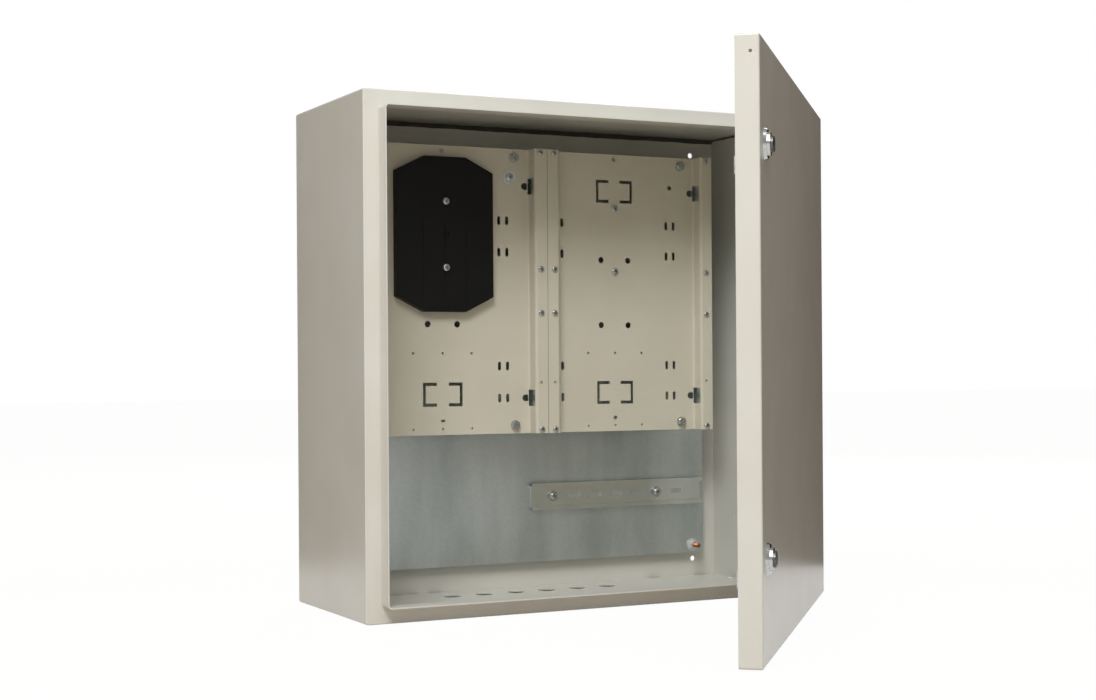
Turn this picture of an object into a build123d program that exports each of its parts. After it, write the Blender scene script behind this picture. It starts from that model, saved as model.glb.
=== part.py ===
from build123d import *
import os

os.makedirs("parts", exist_ok=True)

# The cabinet hangs on a wall. X runs to the right, Y towards the wall and Z up.
# The origin is the centre of the wall face, between the four wall-fixing holes.
# All sizes are in millimetres.

# Body: a welded case of painted sheet steel, open in front
cabinet_width = 600
cabinet_height = 600
body_depth = 230
sheet = 1.5
corner_radius = 2.5
flange_width = 20
rim_depth = 21
rim_corner_radius = 5
fold_radius = 1.2
weld_gap = 0.1

# Holes through the body
fixing_inset_x = 36
fixing_inset_z = 24
fixing_radius = 3.5
entry_radius = 11
entry_pitch = 44
entry_count = 6
entry_shift_x = -8
entry_from_wall = 53
drain_slot_length = 17
drain_slot_width = 9
drain_slot_left_insets = (126.5, 146.5, 179)
drain_slot_right_insets = (98.5, 26)
side_drain_from_wall = 49
side_hole_radius = 3
side_hole_from_wall = 56
side_hole_height = 84.5
side_hole_depth = 0.7
roof_hole_radius = 2
roof_hole_inset_x = 116
roof_hole_from_wall = 131

# Sealant in the corners under the roof
back_bead_size = 7
side_bead_size = 3.5

# Galvanised mounting plate on four welded studs
plate_inset_x = 28
plate_inset_z = 34
plate_sheet = 2
plate_standoff = 11.5
stud_inset_x = 17
stud_inset_z = 10.5
stud_radius = 3
stud_reach = 12
stud_hole_clearance = 0.3
thread_clearance = 0.05
spacer_radius = 6
stud_washer_radius = 6
stud_washer_height = 1.2
stud_nut_flats = 10
stud_nut_height = 5

# The lower right stud takes the earth wire: it is longer and has a wider washer
earth_stud_reach = 18
earth_stud_washer_radius = 8.5
earth_stud_washer_height = 1.6

# Rail of top-hat section on the mounting plate
rail_left = 310
rail_right_inset = 33
rail_height = 118.7
rail_width = 35
rail_trough = 27
rail_depth = 7.5
rail_sheet = 1
rail_slot_length = 18
rail_slot_width = 6.3
rail_slot_pitch = 31.2
rail_slot_inset = 32.8
rail_screw_radius = 3
rail_screw_head_radius = 5
rail_screw_head_height = 3.4
rail_washer_radius = 7
rail_washer_height = 1.2
rail_nut_flats = 10
rail_nut_height = 5

# Two meter plates side by side, each a recessed tray with a strip down either side
meter_plate_side_inset = 57.5
meter_plate_top_inset = 38
meter_plate_bottom = 204
meter_plate_gap = 1
strip_width = 17
strip_depth = 140
recess_depth = 18
tray_fold_radius = 2.2
meter_axis_shift = -15.5

# Cut-outs of a meter plate, placed from its lower edge, its upper edge, its middle or a fold
bracket_slot_insets = (50, 48)
bracket_slot_half_width = 26.7
bracket_slot_height = 29.6
bracket_slot_arm = 18.7
bracket_slot_width = 4
round_hole_spacing = 84
round_hole_offset = 19.8
round_hole_radius = 4
pilot_hole_heights = (7.5, 101)
pilot_hole_offset = 39.4
pilot_hole_radius = 1.5
tie_slot_heights = (44.7, 84.8)
tie_slot_drops = (90.4, 130.1)
tie_slot_left_inset = 12
tie_slot_right_insets = (30.9, 42)
tie_slot_length = 11
tie_slot_width = 4.5
key_slot_insets = (44.6, 46.3)
key_slot_length = 10.5
key_slot_width = 8.4
key_window_height = 20.5
key_window_depth = 15
hanging_hole_drop = 6.5
hanging_hole_radius = 3
foot_slot_height = 17.4
foot_slot_length = 6
foot_slot_width = 3.4
foot_hole_radius = 2.75
spare_hole_drop = 40
spare_hole_inset = 36.5
spare_hole_radius = 3

# Support rails between the mounting plate and the strips
support_sheet = 1.5
support_foot = 15
support_end_gap = 3
support_side_gap = 0.5
support_fold_radius = 2
support_bolt_insets = (40, 48)
support_bolt_radius = 2.5
support_bolt_head_radius = 4.4
support_bolt_head_height = 3

# Screws down the strips
strip_screw_inset = 9
strip_screw_end_inset = 5
strip_screw_middle_spacing = 55
strip_spare_hole_height = 64
strip_screw_radius = 2
strip_screw_head_radius = 3.75
strip_screw_head_height = 2.4
strip_screw_length = 8
hole_clearance = 0.2

# Stays that hold the middle of each meter plate
stay_fold_inset = 21.2
stay_insets = (10.5, 11)
stay_radius = 5
stay_thread_radius = 3
stay_thread_depth = 10
stay_bolt_flats = 10
stay_bolt_head_height = 4
stay_washer_radius = 6
stay_washer_height = 1.6

# Screws that wait for the second meter, and the earth screw
meter_screw_drop = 70
meter_screw_spacing = 81.5
meter_screw_radius = 2.5
meter_screw_head_radius = 4.6
meter_screw_head_height = 3.2
meter_screw_length = 9
meter_nut_flats = 8
meter_nut_height = 4
earth_screw_fold_inset = 27.7
earth_screw_drop = 35.4
earth_washer_radius = 9
earth_washer_height = 1.2

# Moulded board for the first meter
board_width = 129
board_height = 191
board_top_flat = 55
board_chamfer_height = 18.5
board_thickness = 12
board_wall = 3
board_drop = 15
board_boss_radius = 6
board_recess_radius = 4.5
board_recess_depth = 1.5
board_rib_offset = 29
board_rib_width = 1.6
board_rib_height = 0.7
board_rib_length = 96
board_rib_inset = 14

# Door: a shallow pan that covers the rim
door_margin_x = 0
door_margin_z = 2
door_depth = 23.5
door_front = 25
door_open_angle = 49.2
door_fold_radius = 2
gasket_width = 7
gasket_gap = 0.3
hanger_hole_radius = 1.75
hanger_hole_drop = 17
hanger_hole_from_face = 8.6

# Hinges, hidden behind the edge of the door
hinge_pin_inset = 4.5
hinge_pin_forward = 14
hinge_inset_z = 80
hinge_pin_radius = 2
hinge_pin_clearance = 0.05
hinge_pin_seat_clearance = 0.01
knuckle_radius = 3.5
knuckle_length = 18
knuckle_gap = 0.4
hinge_web = 3
hinge_plate = 2
hinge_plate_half_height = 20
hinge_notch_half_height = 22
hinge_notch_depth = 16.5
bracket_inner_edge = 17
leaf_inner_edge = 14.5
hinge_screw_inset = 12.2
hinge_screw_spacing = 24
hinge_screw_radius = 2
hinge_screw_head_radius = 3.6
hinge_screw_head_height = 2.4
hinge_nut_flats = 7
hinge_nut_height = 3.2
hinge_stud_reach = 1.5

# Quarter-turn locks near the free edge of the door
lock_inset = 36
lock_inset_z = 102.5
lock_rosette_radius = 15.5
lock_rosette_height = 3
lock_collar_radius = 11.5
lock_collar_height = 3
lock_barrel_radius = 9
lock_barrel_length = 17
lock_nut_flats = 22
lock_nut_height = 4
lock_insert_radius = 8
lock_insert_height = 3
lock_insert_seat = 5
lock_socket_radius = 5
lock_socket_depth = 6
lock_key_radius = 1.8
lock_key_wing = 3.6
lock_key_thickness = 1.4
lock_shaft_radius = 5
lock_running_clearance = 0.05
cam_length = 28
cam_width = 12
cam_crank_start = 11
cam_crank_end = 14
cam_tail = 9
cam_thickness = 2
cam_gap = 0.5
cam_square = 7
cam_screw_radius = 2.5
cam_screw_head_radius = 5
cam_screw_head_height = 1.6
cam_screw_depth = 8

# Places worked out from the sizes above
half_width = cabinet_width / 2
half_height = cabinet_height / 2
front = -body_depth
inner_width = cabinet_width - 2 * sheet
inner_height = cabinet_height - 2 * sheet
opening_width = cabinet_width - 2 * flange_width
opening_height = cabinet_height - 2 * flange_width
rim_front = front - rim_depth
fixing_x = half_width - fixing_inset_x
fixing_z = half_height - fixing_inset_z
plate_width = cabinet_width - 2 * plate_inset_x
plate_height = cabinet_height - 2 * plate_inset_z
plate_back = -sheet - plate_standoff
plate_front = plate_back - plate_sheet
stud_x = plate_width / 2 - stud_inset_x
stud_z = plate_height / 2 - stud_inset_z
plain_stud_places = [(-stud_x, stud_z), (stud_x, stud_z), (-stud_x, -stud_z)]
earth_stud_place = (stud_x, -stud_z)
strip_front = front + strip_depth
strip_back = strip_front + sheet
tray_front = strip_front + recess_depth
tray_back = tray_front + sheet
meter_plate_width = (cabinet_width - 2 * meter_plate_side_inset - meter_plate_gap) / 2
meter_plate_height = cabinet_height - meter_plate_top_inset - meter_plate_bottom
meter_plate_z = meter_plate_bottom - half_height
meter_plate_top = meter_plate_z + meter_plate_height
meter_plate_middle = meter_plate_z + meter_plate_height / 2
meter_plate_shift = (meter_plate_width + meter_plate_gap) / 2
meter_plate_centres = {"left": -meter_plate_shift, "right": meter_plate_shift}
fold_x = meter_plate_width / 2 - strip_width
pin_x = half_width - hinge_pin_inset
pin_y = front - hinge_pin_forward
door_width = cabinet_width - 2 * door_margin_x
door_height = cabinet_height - 2 * door_margin_z
door_face = front - door_front
door_inner = door_face + sheet
lock_x = lock_inset - half_width
hinge_screw_x = half_width - hinge_screw_inset
hinge_zs = {"lower": hinge_inset_z - half_height, "upper": half_height - hinge_inset_z}
lock_zs = {"lower": lock_inset_z - half_height, "upper": half_height - lock_inset_z}
drain_slot_xs = [inset - half_width for inset in drain_slot_left_insets]
drain_slot_xs += [half_width - inset for inset in drain_slot_right_insets]
hinge_screw_places = [
    (hinge_screw_x, z + shift)
    for z in hinge_zs.values()
    for shift in (-hinge_screw_spacing / 2, hinge_screw_spacing / 2)
]


def facing(y):
    """Plane across the cabinet at depth y: sketched from the front, extruded forwards."""
    return Plane(origin=(0, y, 0), x_dir=(1, 0, 0), z_dir=(0, -1, 0))


def level(z):
    """Horizontal plane at height z."""
    return Plane.XY.offset(z)


# The door is drawn as if closed, on planes that have swung open with it about the hinge pins
door_swing = Location((pin_x, pin_y, 0), (0, 0, door_open_angle))


def door_facing(y):
    """Plane of the door at its closed depth y, swung open with the door."""
    return Plane(door_swing * Location((-pin_x, y - pin_y, 0), (90, 0, 0)))


def door_level(z):
    """Horizontal plane of the door at height z, swung open with the door."""
    return Plane(door_swing * Location((-pin_x, -pin_y, z)))


def from_left(inset):
    """X of a place that was measured from the left side of the cabinet."""
    return inset - half_width


def from_bottom(height):
    """Z of a place that was measured from the underside of the cabinet."""
    return height - half_height


def hexagon(flats):
    """Hexagon of a nut or bolt head with two flats upright."""
    RegularPolygon(flats / 2, 6, major_radius=False, rotation=30)


# Body: sides, roof and floor in one wrap, with the front flange and the rim around the opening
with BuildPart() as body_shell:
    with BuildSketch(facing(0)):
        RectangleRounded(cabinet_width, cabinet_height, corner_radius)
        Rectangle(inner_width, inner_height, mode=Mode.SUBTRACT)
    extrude(amount=body_depth)
    with BuildSketch(facing(front + sheet)):
        RectangleRounded(cabinet_width, cabinet_height, corner_radius)
        Rectangle(opening_width, opening_height, mode=Mode.SUBTRACT)
    extrude(amount=sheet)
    fillet(body_shell.edges().group_by(Axis.Y)[0].group_by(SortBy.LENGTH)[-1], fold_radius)
    with BuildSketch(facing(front)):
        RectangleRounded(opening_width + 2 * sheet, opening_height + 2 * sheet, rim_corner_radius)
        RectangleRounded(opening_width, opening_height, rim_corner_radius - sheet, mode=Mode.SUBTRACT)
    extrude(amount=rim_depth)
    with BuildSketch(facing(front)):
        with Locations(*hinge_screw_places):
            Circle(hinge_screw_radius + hole_clearance)
    extrude(amount=-sheet, mode=Mode.SUBTRACT)
    with BuildSketch(level(-half_height)):
        with Locations((entry_shift_x, -entry_from_wall)):
            with GridLocations(entry_pitch, 0, entry_count, 1):
                Circle(entry_radius)
        for x in drain_slot_xs:
            with Locations((x, -sheet - drain_slot_width / 2)):
                Rectangle(drain_slot_length, drain_slot_width)
        with Locations((half_width - sheet - drain_slot_width / 2, -side_drain_from_wall)):
            Rectangle(drain_slot_width, drain_slot_length)
    extrude(amount=sheet, mode=Mode.SUBTRACT)
    with BuildSketch(level(half_height)):
        with Locations((half_width - roof_hole_inset_x, -roof_hole_from_wall)):
            Circle(roof_hole_radius)
    extrude(amount=-sheet, mode=Mode.SUBTRACT)
    with BuildSketch(Plane.YZ.offset(half_width - sheet)):
        with Locations((-side_hole_from_wall, from_bottom(side_hole_height))):
            Circle(side_hole_radius)
    extrude(amount=side_hole_depth, mode=Mode.SUBTRACT)
body_shell.part.label = "body_shell"
export_step(body_shell.part, "parts/body_shell.step")

# Back panel, welded into the wrap, with the four holes that hang the cabinet on a wall
with BuildPart() as back_panel:
    with BuildSketch(facing(0)):
        Rectangle(inner_width - 2 * weld_gap, inner_height - 2 * weld_gap)
        with GridLocations(2 * fixing_x, 2 * fixing_z, 2, 2):
            Circle(fixing_radius, mode=Mode.SUBTRACT)
    extrude(amount=sheet)
back_panel.part.label = "back_panel"
export_step(back_panel.part, "parts/back_panel.step")

# Sealant: one bead along the back corner of the roof and a thinner one down either side
with BuildPart() as roof_sealant:
    with BuildSketch(Plane.YZ.offset(-inner_width / 2)):
        with BuildLine():
            Polyline(
                (-sheet, inner_height / 2),
                (-sheet - back_bead_size, inner_height / 2),
                (-sheet, inner_height / 2 - back_bead_size),
                close=True,
            )
        make_face()
    extrude(amount=inner_width)
    with BuildSketch(facing(-sheet)):
        for side in (-1, 1):
            with BuildLine():
                Polyline(
                    (side * inner_width / 2, inner_height / 2),
                    (side * (inner_width / 2 - side_bead_size), inner_height / 2),
                    (side * inner_width / 2, inner_height / 2 - side_bead_size),
                    close=True,
                )
            make_face()
    extrude(amount=body_depth - 2 * sheet)
roof_sealant.part.label = "roof_sealant"
export_step(roof_sealant.part, "parts/roof_sealant.step")

# Studs welded to the back panel
stud_foot = plate_standoff + plate_sheet
with BuildPart() as mounting_studs:
    with BuildSketch(facing(-sheet)):
        with Locations(*plain_stud_places):
            Circle(stud_radius)
    extrude(amount=stud_foot + stud_reach)
mounting_studs.part.label = "mounting_studs"
export_step(mounting_studs.part, "parts/mounting_studs.step")

with BuildPart() as earth_stud:
    with BuildSketch(facing(-sheet)):
        with Locations(earth_stud_place):
            Circle(stud_radius)
    extrude(amount=stud_foot + earth_stud_reach)
earth_stud.part.label = "earth_stud"
export_step(earth_stud.part, "parts/earth_stud.step")

# Sleeves on the studs, which keep the mounting plate off the back panel
with BuildPart() as mounting_spacers:
    with BuildSketch(facing(-sheet)):
        with GridLocations(2 * stud_x, 2 * stud_z, 2, 2):
            Circle(spacer_radius)
            Circle(stud_radius + stud_hole_clearance, mode=Mode.SUBTRACT)
    extrude(amount=plate_standoff)
mounting_spacers.part.label = "mounting_spacers"
export_step(mounting_spacers.part, "parts/mounting_spacers.step")

rail_z = from_bottom(rail_height)
rail_length = cabinet_width - rail_right_inset - rail_left
rail_slot_count = int((rail_length - rail_slot_inset - rail_slot_length / 2) // rail_slot_pitch) + 1
rail_slot_xs = [
    from_left(rail_left + rail_slot_inset + rail_slot_pitch * step) for step in range(rail_slot_count)
]
rail_screw_places = [(rail_slot_xs[0], rail_z), (rail_slot_xs[-2], rail_z)]
support_bolt_zs = (meter_plate_z + support_bolt_insets[0], meter_plate_top - support_bolt_insets[1])
side_support_x = meter_plate_shift + fold_x + sheet + support_side_gap
centre_support_x = meter_plate_shift - fold_x - sheet - support_side_gap
support_bolt_xs = [
    -side_support_x - support_sheet - support_foot / 2,
    -centre_support_x - support_foot / 2,
    centre_support_x + support_foot / 2,
    side_support_x + support_sheet + support_foot / 2,
]
support_bolt_places = [(x, z) for x in support_bolt_xs for z in support_bolt_zs]

# Mounting plate
with BuildPart() as mounting_plate:
    with BuildSketch(facing(plate_back)):
        Rectangle(plate_width, plate_height)
        with GridLocations(2 * stud_x, 2 * stud_z, 2, 2):
            Circle(stud_radius + stud_hole_clearance, mode=Mode.SUBTRACT)
        with Locations(*rail_screw_places):
            Circle(rail_screw_radius + hole_clearance, mode=Mode.SUBTRACT)
        with Locations(*support_bolt_places):
            Circle(support_bolt_radius + thread_clearance, mode=Mode.SUBTRACT)
    extrude(amount=plate_sheet)
mounting_plate.part.label = "mounting_plate"
export_step(mounting_plate.part, "parts/mounting_plate.step")

# Washers and nuts on the studs
with BuildPart() as mounting_washers:
    with BuildSketch(facing(plate_front)):
        with Locations(*plain_stud_places):
            Circle(stud_washer_radius)
            Circle(stud_radius + stud_hole_clearance, mode=Mode.SUBTRACT)
    extrude(amount=stud_washer_height)
mounting_washers.part.label = "mounting_washers"
export_step(mounting_washers.part, "parts/mounting_washers.step")

with BuildPart() as mounting_nuts:
    with BuildSketch(facing(plate_front - stud_washer_height)):
        with Locations(*plain_stud_places):
            hexagon(stud_nut_flats)
            Circle(stud_radius + thread_clearance, mode=Mode.SUBTRACT)
    extrude(amount=stud_nut_height)
mounting_nuts.part.label = "mounting_nuts"
export_step(mounting_nuts.part, "parts/mounting_nuts.step")

with BuildPart() as earth_stud_washer:
    with BuildSketch(facing(plate_front)):
        with Locations(earth_stud_place):
            Circle(earth_stud_washer_radius)
            Circle(stud_radius + stud_hole_clearance, mode=Mode.SUBTRACT)
    extrude(amount=earth_stud_washer_height)
earth_stud_washer.part.label = "earth_stud_washer"
export_step(earth_stud_washer.part, "parts/earth_stud_washer.step")

with BuildPart() as earth_stud_nut:
    with BuildSketch(facing(plate_front - earth_stud_washer_height)):
        with Locations(earth_stud_place):
            hexagon(stud_nut_flats)
            Circle(stud_radius + thread_clearance, mode=Mode.SUBTRACT)
    extrude(amount=stud_nut_height)
earth_stud_nut.part.label = "earth_stud_nut"
export_step(earth_stud_nut.part, "parts/earth_stud_nut.step")

# Slotted rail of top-hat section
with BuildPart() as din_rail:
    with BuildSketch(Plane.YZ.offset(from_left(rail_left))):
        with Locations((plate_front - rail_sheet / 2, rail_z)):
            Rectangle(rail_sheet, rail_trough)
        with Locations((plate_front - rail_depth / 2, rail_z)):
            with GridLocations(0, rail_trough - rail_sheet, 1, 2):
                Rectangle(rail_depth, rail_sheet)
        with Locations((plate_front - rail_depth + rail_sheet / 2, rail_z)):
            Rectangle(rail_sheet, rail_width)
            Rectangle(rail_sheet, rail_trough - 2 * rail_sheet, mode=Mode.SUBTRACT)
    extrude(amount=rail_length)
    with BuildSketch(facing(plate_front)):
        with Locations(*[(x, rail_z) for x in rail_slot_xs]):
            SlotOverall(rail_slot_length, rail_slot_width)
    extrude(amount=rail_sheet, mode=Mode.SUBTRACT)
din_rail.part.label = "din_rail"
export_step(din_rail.part, "parts/din_rail.step")

# Screws, washers and nuts that hold the rail
rail_washer_face = plate_front - rail_sheet
with BuildPart() as rail_washers:
    with BuildSketch(facing(rail_washer_face)):
        with Locations(*rail_screw_places):
            Circle(rail_washer_radius)
            Circle(rail_screw_radius + hole_clearance, mode=Mode.SUBTRACT)
    extrude(amount=rail_washer_height)
rail_washers.part.label = "rail_washers"
export_step(rail_washers.part, "parts/rail_washers.step")

rail_head_face = rail_washer_face - rail_washer_height
rail_screw_length = rail_washer_height + rail_sheet + plate_sheet + rail_nut_height + 1
with BuildPart() as rail_screws:
    with BuildSketch(facing(rail_head_face)):
        with Locations(*rail_screw_places):
            Circle(rail_screw_head_radius)
    extrude(amount=rail_screw_head_height)
    chamfer(rail_screws.faces().group_by(Axis.Y)[0].edges(), rail_screw_head_height / 4)
    with BuildSketch(facing(rail_head_face)):
        with Locations(*rail_screw_places):
            Circle(rail_screw_radius)
    extrude(amount=-rail_screw_length)
rail_screws.part.label = "rail_screws"
export_step(rail_screws.part, "parts/rail_screws.step")

with BuildPart() as rail_nuts:
    with BuildSketch(facing(plate_back)):
        with Locations(*rail_screw_places):
            hexagon(rail_nut_flats)
            Circle(rail_screw_radius + thread_clearance, mode=Mode.SUBTRACT)
    extrude(amount=-rail_nut_height)
rail_nuts.part.label = "rail_nuts"
export_step(rail_nuts.part, "parts/rail_nuts.step")

# Support rails: folded sheet that stands on the mounting plate and carries the strips
support_bottom = meter_plate_z + support_end_gap
support_length = meter_plate_height - 2 * support_end_gap
support_mid = support_sheet / 2
support_flange = strip_width - sheet - support_side_gap
strip_screw_zs = (
    meter_plate_z + strip_screw_end_inset,
    meter_plate_middle - strip_screw_middle_spacing / 2,
    meter_plate_middle + strip_screw_middle_spacing / 2,
    meter_plate_top - strip_screw_end_inset,
)
outer_strip_x = meter_plate_shift + meter_plate_width / 2 - strip_screw_inset
inner_strip_x = meter_plate_gap / 2 + strip_screw_inset
screw_bore = strip_screw_radius + thread_clearance

for side, sign in (("left", -1), ("right", 1)):
    with BuildPart() as support_rail:
        with BuildSketch(level(support_bottom)):
            with BuildLine():
                FilletPolyline(
                    (sign * (side_support_x + support_flange), strip_back + support_mid),
                    (sign * (side_support_x + support_mid), strip_back + support_mid),
                    (sign * (side_support_x + support_mid), plate_front - support_mid),
                    (sign * (side_support_x + support_sheet + support_foot), plate_front - support_mid),
                    radius=support_fold_radius,
                )
            trace(line_width=support_sheet)
        extrude(amount=support_length)
        with BuildSketch(facing(strip_back + support_sheet)):
            with Locations(*[(sign * outer_strip_x, z) for z in strip_screw_zs]):
                Circle(screw_bore)
        extrude(amount=support_sheet, mode=Mode.SUBTRACT)
        with BuildSketch(facing(plate_front)):
            with Locations(*[(x, z) for x, z in support_bolt_places if x * sign > side_support_x]):
                Circle(support_bolt_radius + hole_clearance)
        extrude(amount=support_sheet, mode=Mode.SUBTRACT)
    support_rail.part.label = f"support_rail_{side}"
    export_step(support_rail.part, f"parts/support_rail_{side}.step")

with BuildPart() as support_rail_centre:
    with BuildSketch(level(support_bottom)):
        with BuildLine():
            FilletPolyline(
                (-centre_support_x - support_foot, plate_front - support_mid),
                (-centre_support_x + support_mid, plate_front - support_mid),
                (-centre_support_x + support_mid, strip_back + support_mid),
                (centre_support_x - support_mid, strip_back + support_mid),
                (centre_support_x - support_mid, plate_front - support_mid),
                (centre_support_x + support_foot, plate_front - support_mid),
                radius=support_fold_radius,
            )
        trace(line_width=support_sheet)
    extrude(amount=support_length)
    with BuildSketch(facing(strip_back + support_sheet)):
        with Locations(*[(sign * inner_strip_x, z) for sign in (-1, 1) for z in strip_screw_zs]):
            Circle(screw_bore)
    extrude(amount=support_sheet, mode=Mode.SUBTRACT)
    with BuildSketch(facing(plate_front)):
        with Locations(*[(x, z) for x, z in support_bolt_places if abs(x) < side_support_x]):
            Circle(support_bolt_radius + hole_clearance)
    extrude(amount=support_sheet, mode=Mode.SUBTRACT)
support_rail_centre.part.label = "support_rail_centre"
export_step(support_rail_centre.part, "parts/support_rail_centre.step")

# Bolts in the feet of the support rails, cut into the mounting plate
with BuildPart() as support_bolts:
    with BuildSketch(facing(plate_front - support_sheet)):
        with Locations(*support_bolt_places):
            Circle(support_bolt_head_radius)
    extrude(amount=support_bolt_head_height)
    with BuildSketch(facing(plate_front - support_sheet)):
        with Locations(*support_bolt_places):
            Circle(support_bolt_radius)
    extrude(amount=-(support_sheet + plate_sheet + 2))
support_bolts.part.label = "support_bolts"
export_step(support_bolts.part, "parts/support_bolts.step")


def bracket_slots(x, z):
    """A pair of square brackets that face each other, cut around a hand-sized tab."""
    for sign in (-1, 1):
        upright_x = x + sign * (bracket_slot_half_width - bracket_slot_width / 2)
        arm_x = x + sign * (bracket_slot_half_width - bracket_slot_arm / 2)
        arm_z = (bracket_slot_height - bracket_slot_width) / 2
        with Locations((upright_x, z)):
            Rectangle(bracket_slot_width, bracket_slot_height)
        with Locations((arm_x, z - arm_z), (arm_x, z + arm_z)):
            Rectangle(bracket_slot_arm, bracket_slot_width)


# Meter plates: the tray, its two strips and all its cut-outs
tray_bend = tray_fold_radius + sheet / 2
bracket_slot_zs = (meter_plate_z + bracket_slot_insets[0], meter_plate_top - bracket_slot_insets[1])
key_slot_zs = (meter_plate_z + key_slot_insets[0], meter_plate_top - key_slot_insets[1])
tie_slot_zs = [meter_plate_z + height for height in tie_slot_heights]
tie_slot_zs += [meter_plate_top - drop for drop in tie_slot_drops]
tie_slot_offsets = [tie_slot_left_inset - fold_x] + [fold_x - inset for inset in tie_slot_right_insets]
meter_screw_zs = (meter_plate_top - meter_screw_drop - meter_screw_spacing, meter_plate_top - meter_screw_drop)
stay_zs = (meter_plate_z + stay_insets[0], meter_plate_top - stay_insets[1])
for side, centre in meter_plate_centres.items():
    axis_x = centre + meter_axis_shift
    mounted = side == "left"
    with BuildPart() as meter_plate:
        with BuildSketch(level(meter_plate_z)):
            with BuildLine():
                FilletPolyline(
                    (centre - meter_plate_width / 2, strip_front + sheet / 2),
                    (centre - fold_x - sheet / 2, strip_front + sheet / 2),
                    (centre - fold_x - sheet / 2, tray_front + sheet / 2),
                    (centre + fold_x + sheet / 2, tray_front + sheet / 2),
                    (centre + fold_x + sheet / 2, strip_front + sheet / 2),
                    (centre + meter_plate_width / 2, strip_front + sheet / 2),
                    radius=tray_bend,
                )
            trace(line_width=sheet)
        extrude(amount=meter_plate_height)
        with BuildSketch(facing(tray_back)):
            for z in bracket_slot_zs:
                bracket_slots(axis_x, z)
            with Locations((axis_x, meter_plate_middle)):
                with GridLocations(2 * round_hole_offset, round_hole_spacing, 2, 2):
                    Circle(round_hole_radius)
            for height in pilot_hole_heights:
                with Locations((axis_x, meter_plate_z + height)):
                    with GridLocations(pilot_hole_offset, 0, 3, 1):
                        Circle(pilot_hole_radius)
            with Locations(*[(centre + offset, z) for offset in tie_slot_offsets for z in tie_slot_zs]):
                SlotOverall(tie_slot_length, tie_slot_width, rotation=90)
            with Locations(*[(centre + fold_x, z) for z in key_slot_zs]):
                SlotOverall(2 * key_slot_length, key_slot_width)
            with Locations(*[(axis_x, z) for z in meter_screw_zs]):
                Circle(meter_screw_radius + hole_clearance)
            with Locations(*[(centre + fold_x - stay_fold_inset, z) for z in stay_zs]):
                Circle(stay_thread_radius + hole_clearance)
            with Locations((axis_x, meter_plate_top - hanging_hole_drop)):
                Circle(hanging_hole_radius)
            if mounted:
                with Locations((axis_x, meter_plate_z + foot_slot_height)):
                    SlotOverall(foot_slot_length, foot_slot_width)
                with Locations((centre + fold_x - earth_screw_fold_inset, meter_plate_top - earth_screw_drop)):
                    Circle(meter_screw_radius + hole_clearance)
            else:
                with Locations((axis_x, meter_plate_z + foot_slot_height)):
                    Circle(foot_hole_radius)
                with Locations((centre + fold_x - spare_hole_inset, meter_plate_top - spare_hole_drop)):
                    Circle(spare_hole_radius)
        extrude(amount=sheet, mode=Mode.SUBTRACT)
        with BuildSketch(facing(tray_back)):
            with Locations(*[(centre + fold_x + sheet / 2, z) for z in key_slot_zs]):
                Rectangle(3 * sheet, key_window_height)
        extrude(amount=key_window_depth + sheet, mode=Mode.SUBTRACT)
        with BuildSketch(facing(strip_back)):
            with Locations((centre, 0)):
                with GridLocations(meter_plate_width - 2 * strip_screw_inset, 0, 2, 1):
                    with Locations(*[(0, z) for z in strip_screw_zs]):
                        Circle(strip_screw_radius + hole_clearance)
                    with Locations((0, meter_plate_z + strip_spare_hole_height)):
                        Circle(strip_screw_radius)
        extrude(amount=sheet, mode=Mode.SUBTRACT)
    meter_plate.part.label = f"meter_plate_{side}"
    export_step(meter_plate.part, f"parts/meter_plate_{side}.step")

    strip_screw_places = [
        (centre + sign * (meter_plate_width / 2 - strip_screw_inset), z) for sign in (-1, 1) for z in strip_screw_zs
    ]
    with BuildPart() as strip_screws:
        with BuildSketch(facing(strip_front)):
            with Locations(*strip_screw_places):
                Circle(strip_screw_head_radius)
        extrude(amount=strip_screw_head_height)
        fillet(strip_screws.faces().group_by(Axis.Y)[0].edges(), strip_screw_head_height / 2)
        with BuildSketch(facing(strip_front)):
            with Locations(*strip_screw_places):
                Circle(strip_screw_radius)
        extrude(amount=-strip_screw_length)
    strip_screws.part.label = f"strip_screws_{side}"
    export_step(strip_screws.part, f"parts/strip_screws_{side}.step")

# Pillars between the mounting plate and the trays, each with a bolt and a washer
stay_places = [
    (centre + fold_x - stay_fold_inset, z) for centre in meter_plate_centres.values() for z in stay_zs
]
with BuildPart() as stay_pillars:
    with BuildSketch(facing(plate_front)):
        with Locations(*stay_places):
            Circle(stay_radius)
    extrude(amount=plate_front - tray_back)
    with BuildSketch(facing(tray_back)):
        with Locations(*stay_places):
            Circle(stay_thread_radius + thread_clearance)
    extrude(amount=-(stay_thread_depth + 1), mode=Mode.SUBTRACT)
stay_pillars.part.label = "stay_pillars"
export_step(stay_pillars.part, "parts/stay_pillars.step")

with BuildPart() as stay_washers:
    with BuildSketch(facing(tray_front)):
        with Locations(*stay_places):
            Circle(stay_washer_radius)
            Circle(stay_thread_radius + hole_clearance, mode=Mode.SUBTRACT)
    extrude(amount=stay_washer_height)
stay_washers.part.label = "stay_washers"
export_step(stay_washers.part, "parts/stay_washers.step")

stay_head_face = tray_front - stay_washer_height
with BuildPart() as stay_bolts:
    with BuildSketch(facing(stay_head_face)):
        with Locations(*stay_places):
            hexagon(stay_bolt_flats)
    extrude(amount=stay_bolt_head_height)
    with BuildSketch(facing(stay_head_face)):
        with Locations(*stay_places):
            Circle(stay_thread_radius)
    extrude(amount=-(stay_washer_height + sheet + stay_thread_depth))
stay_bolts.part.label = "stay_bolts"
export_step(stay_bolts.part, "parts/stay_bolts.step")


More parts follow.
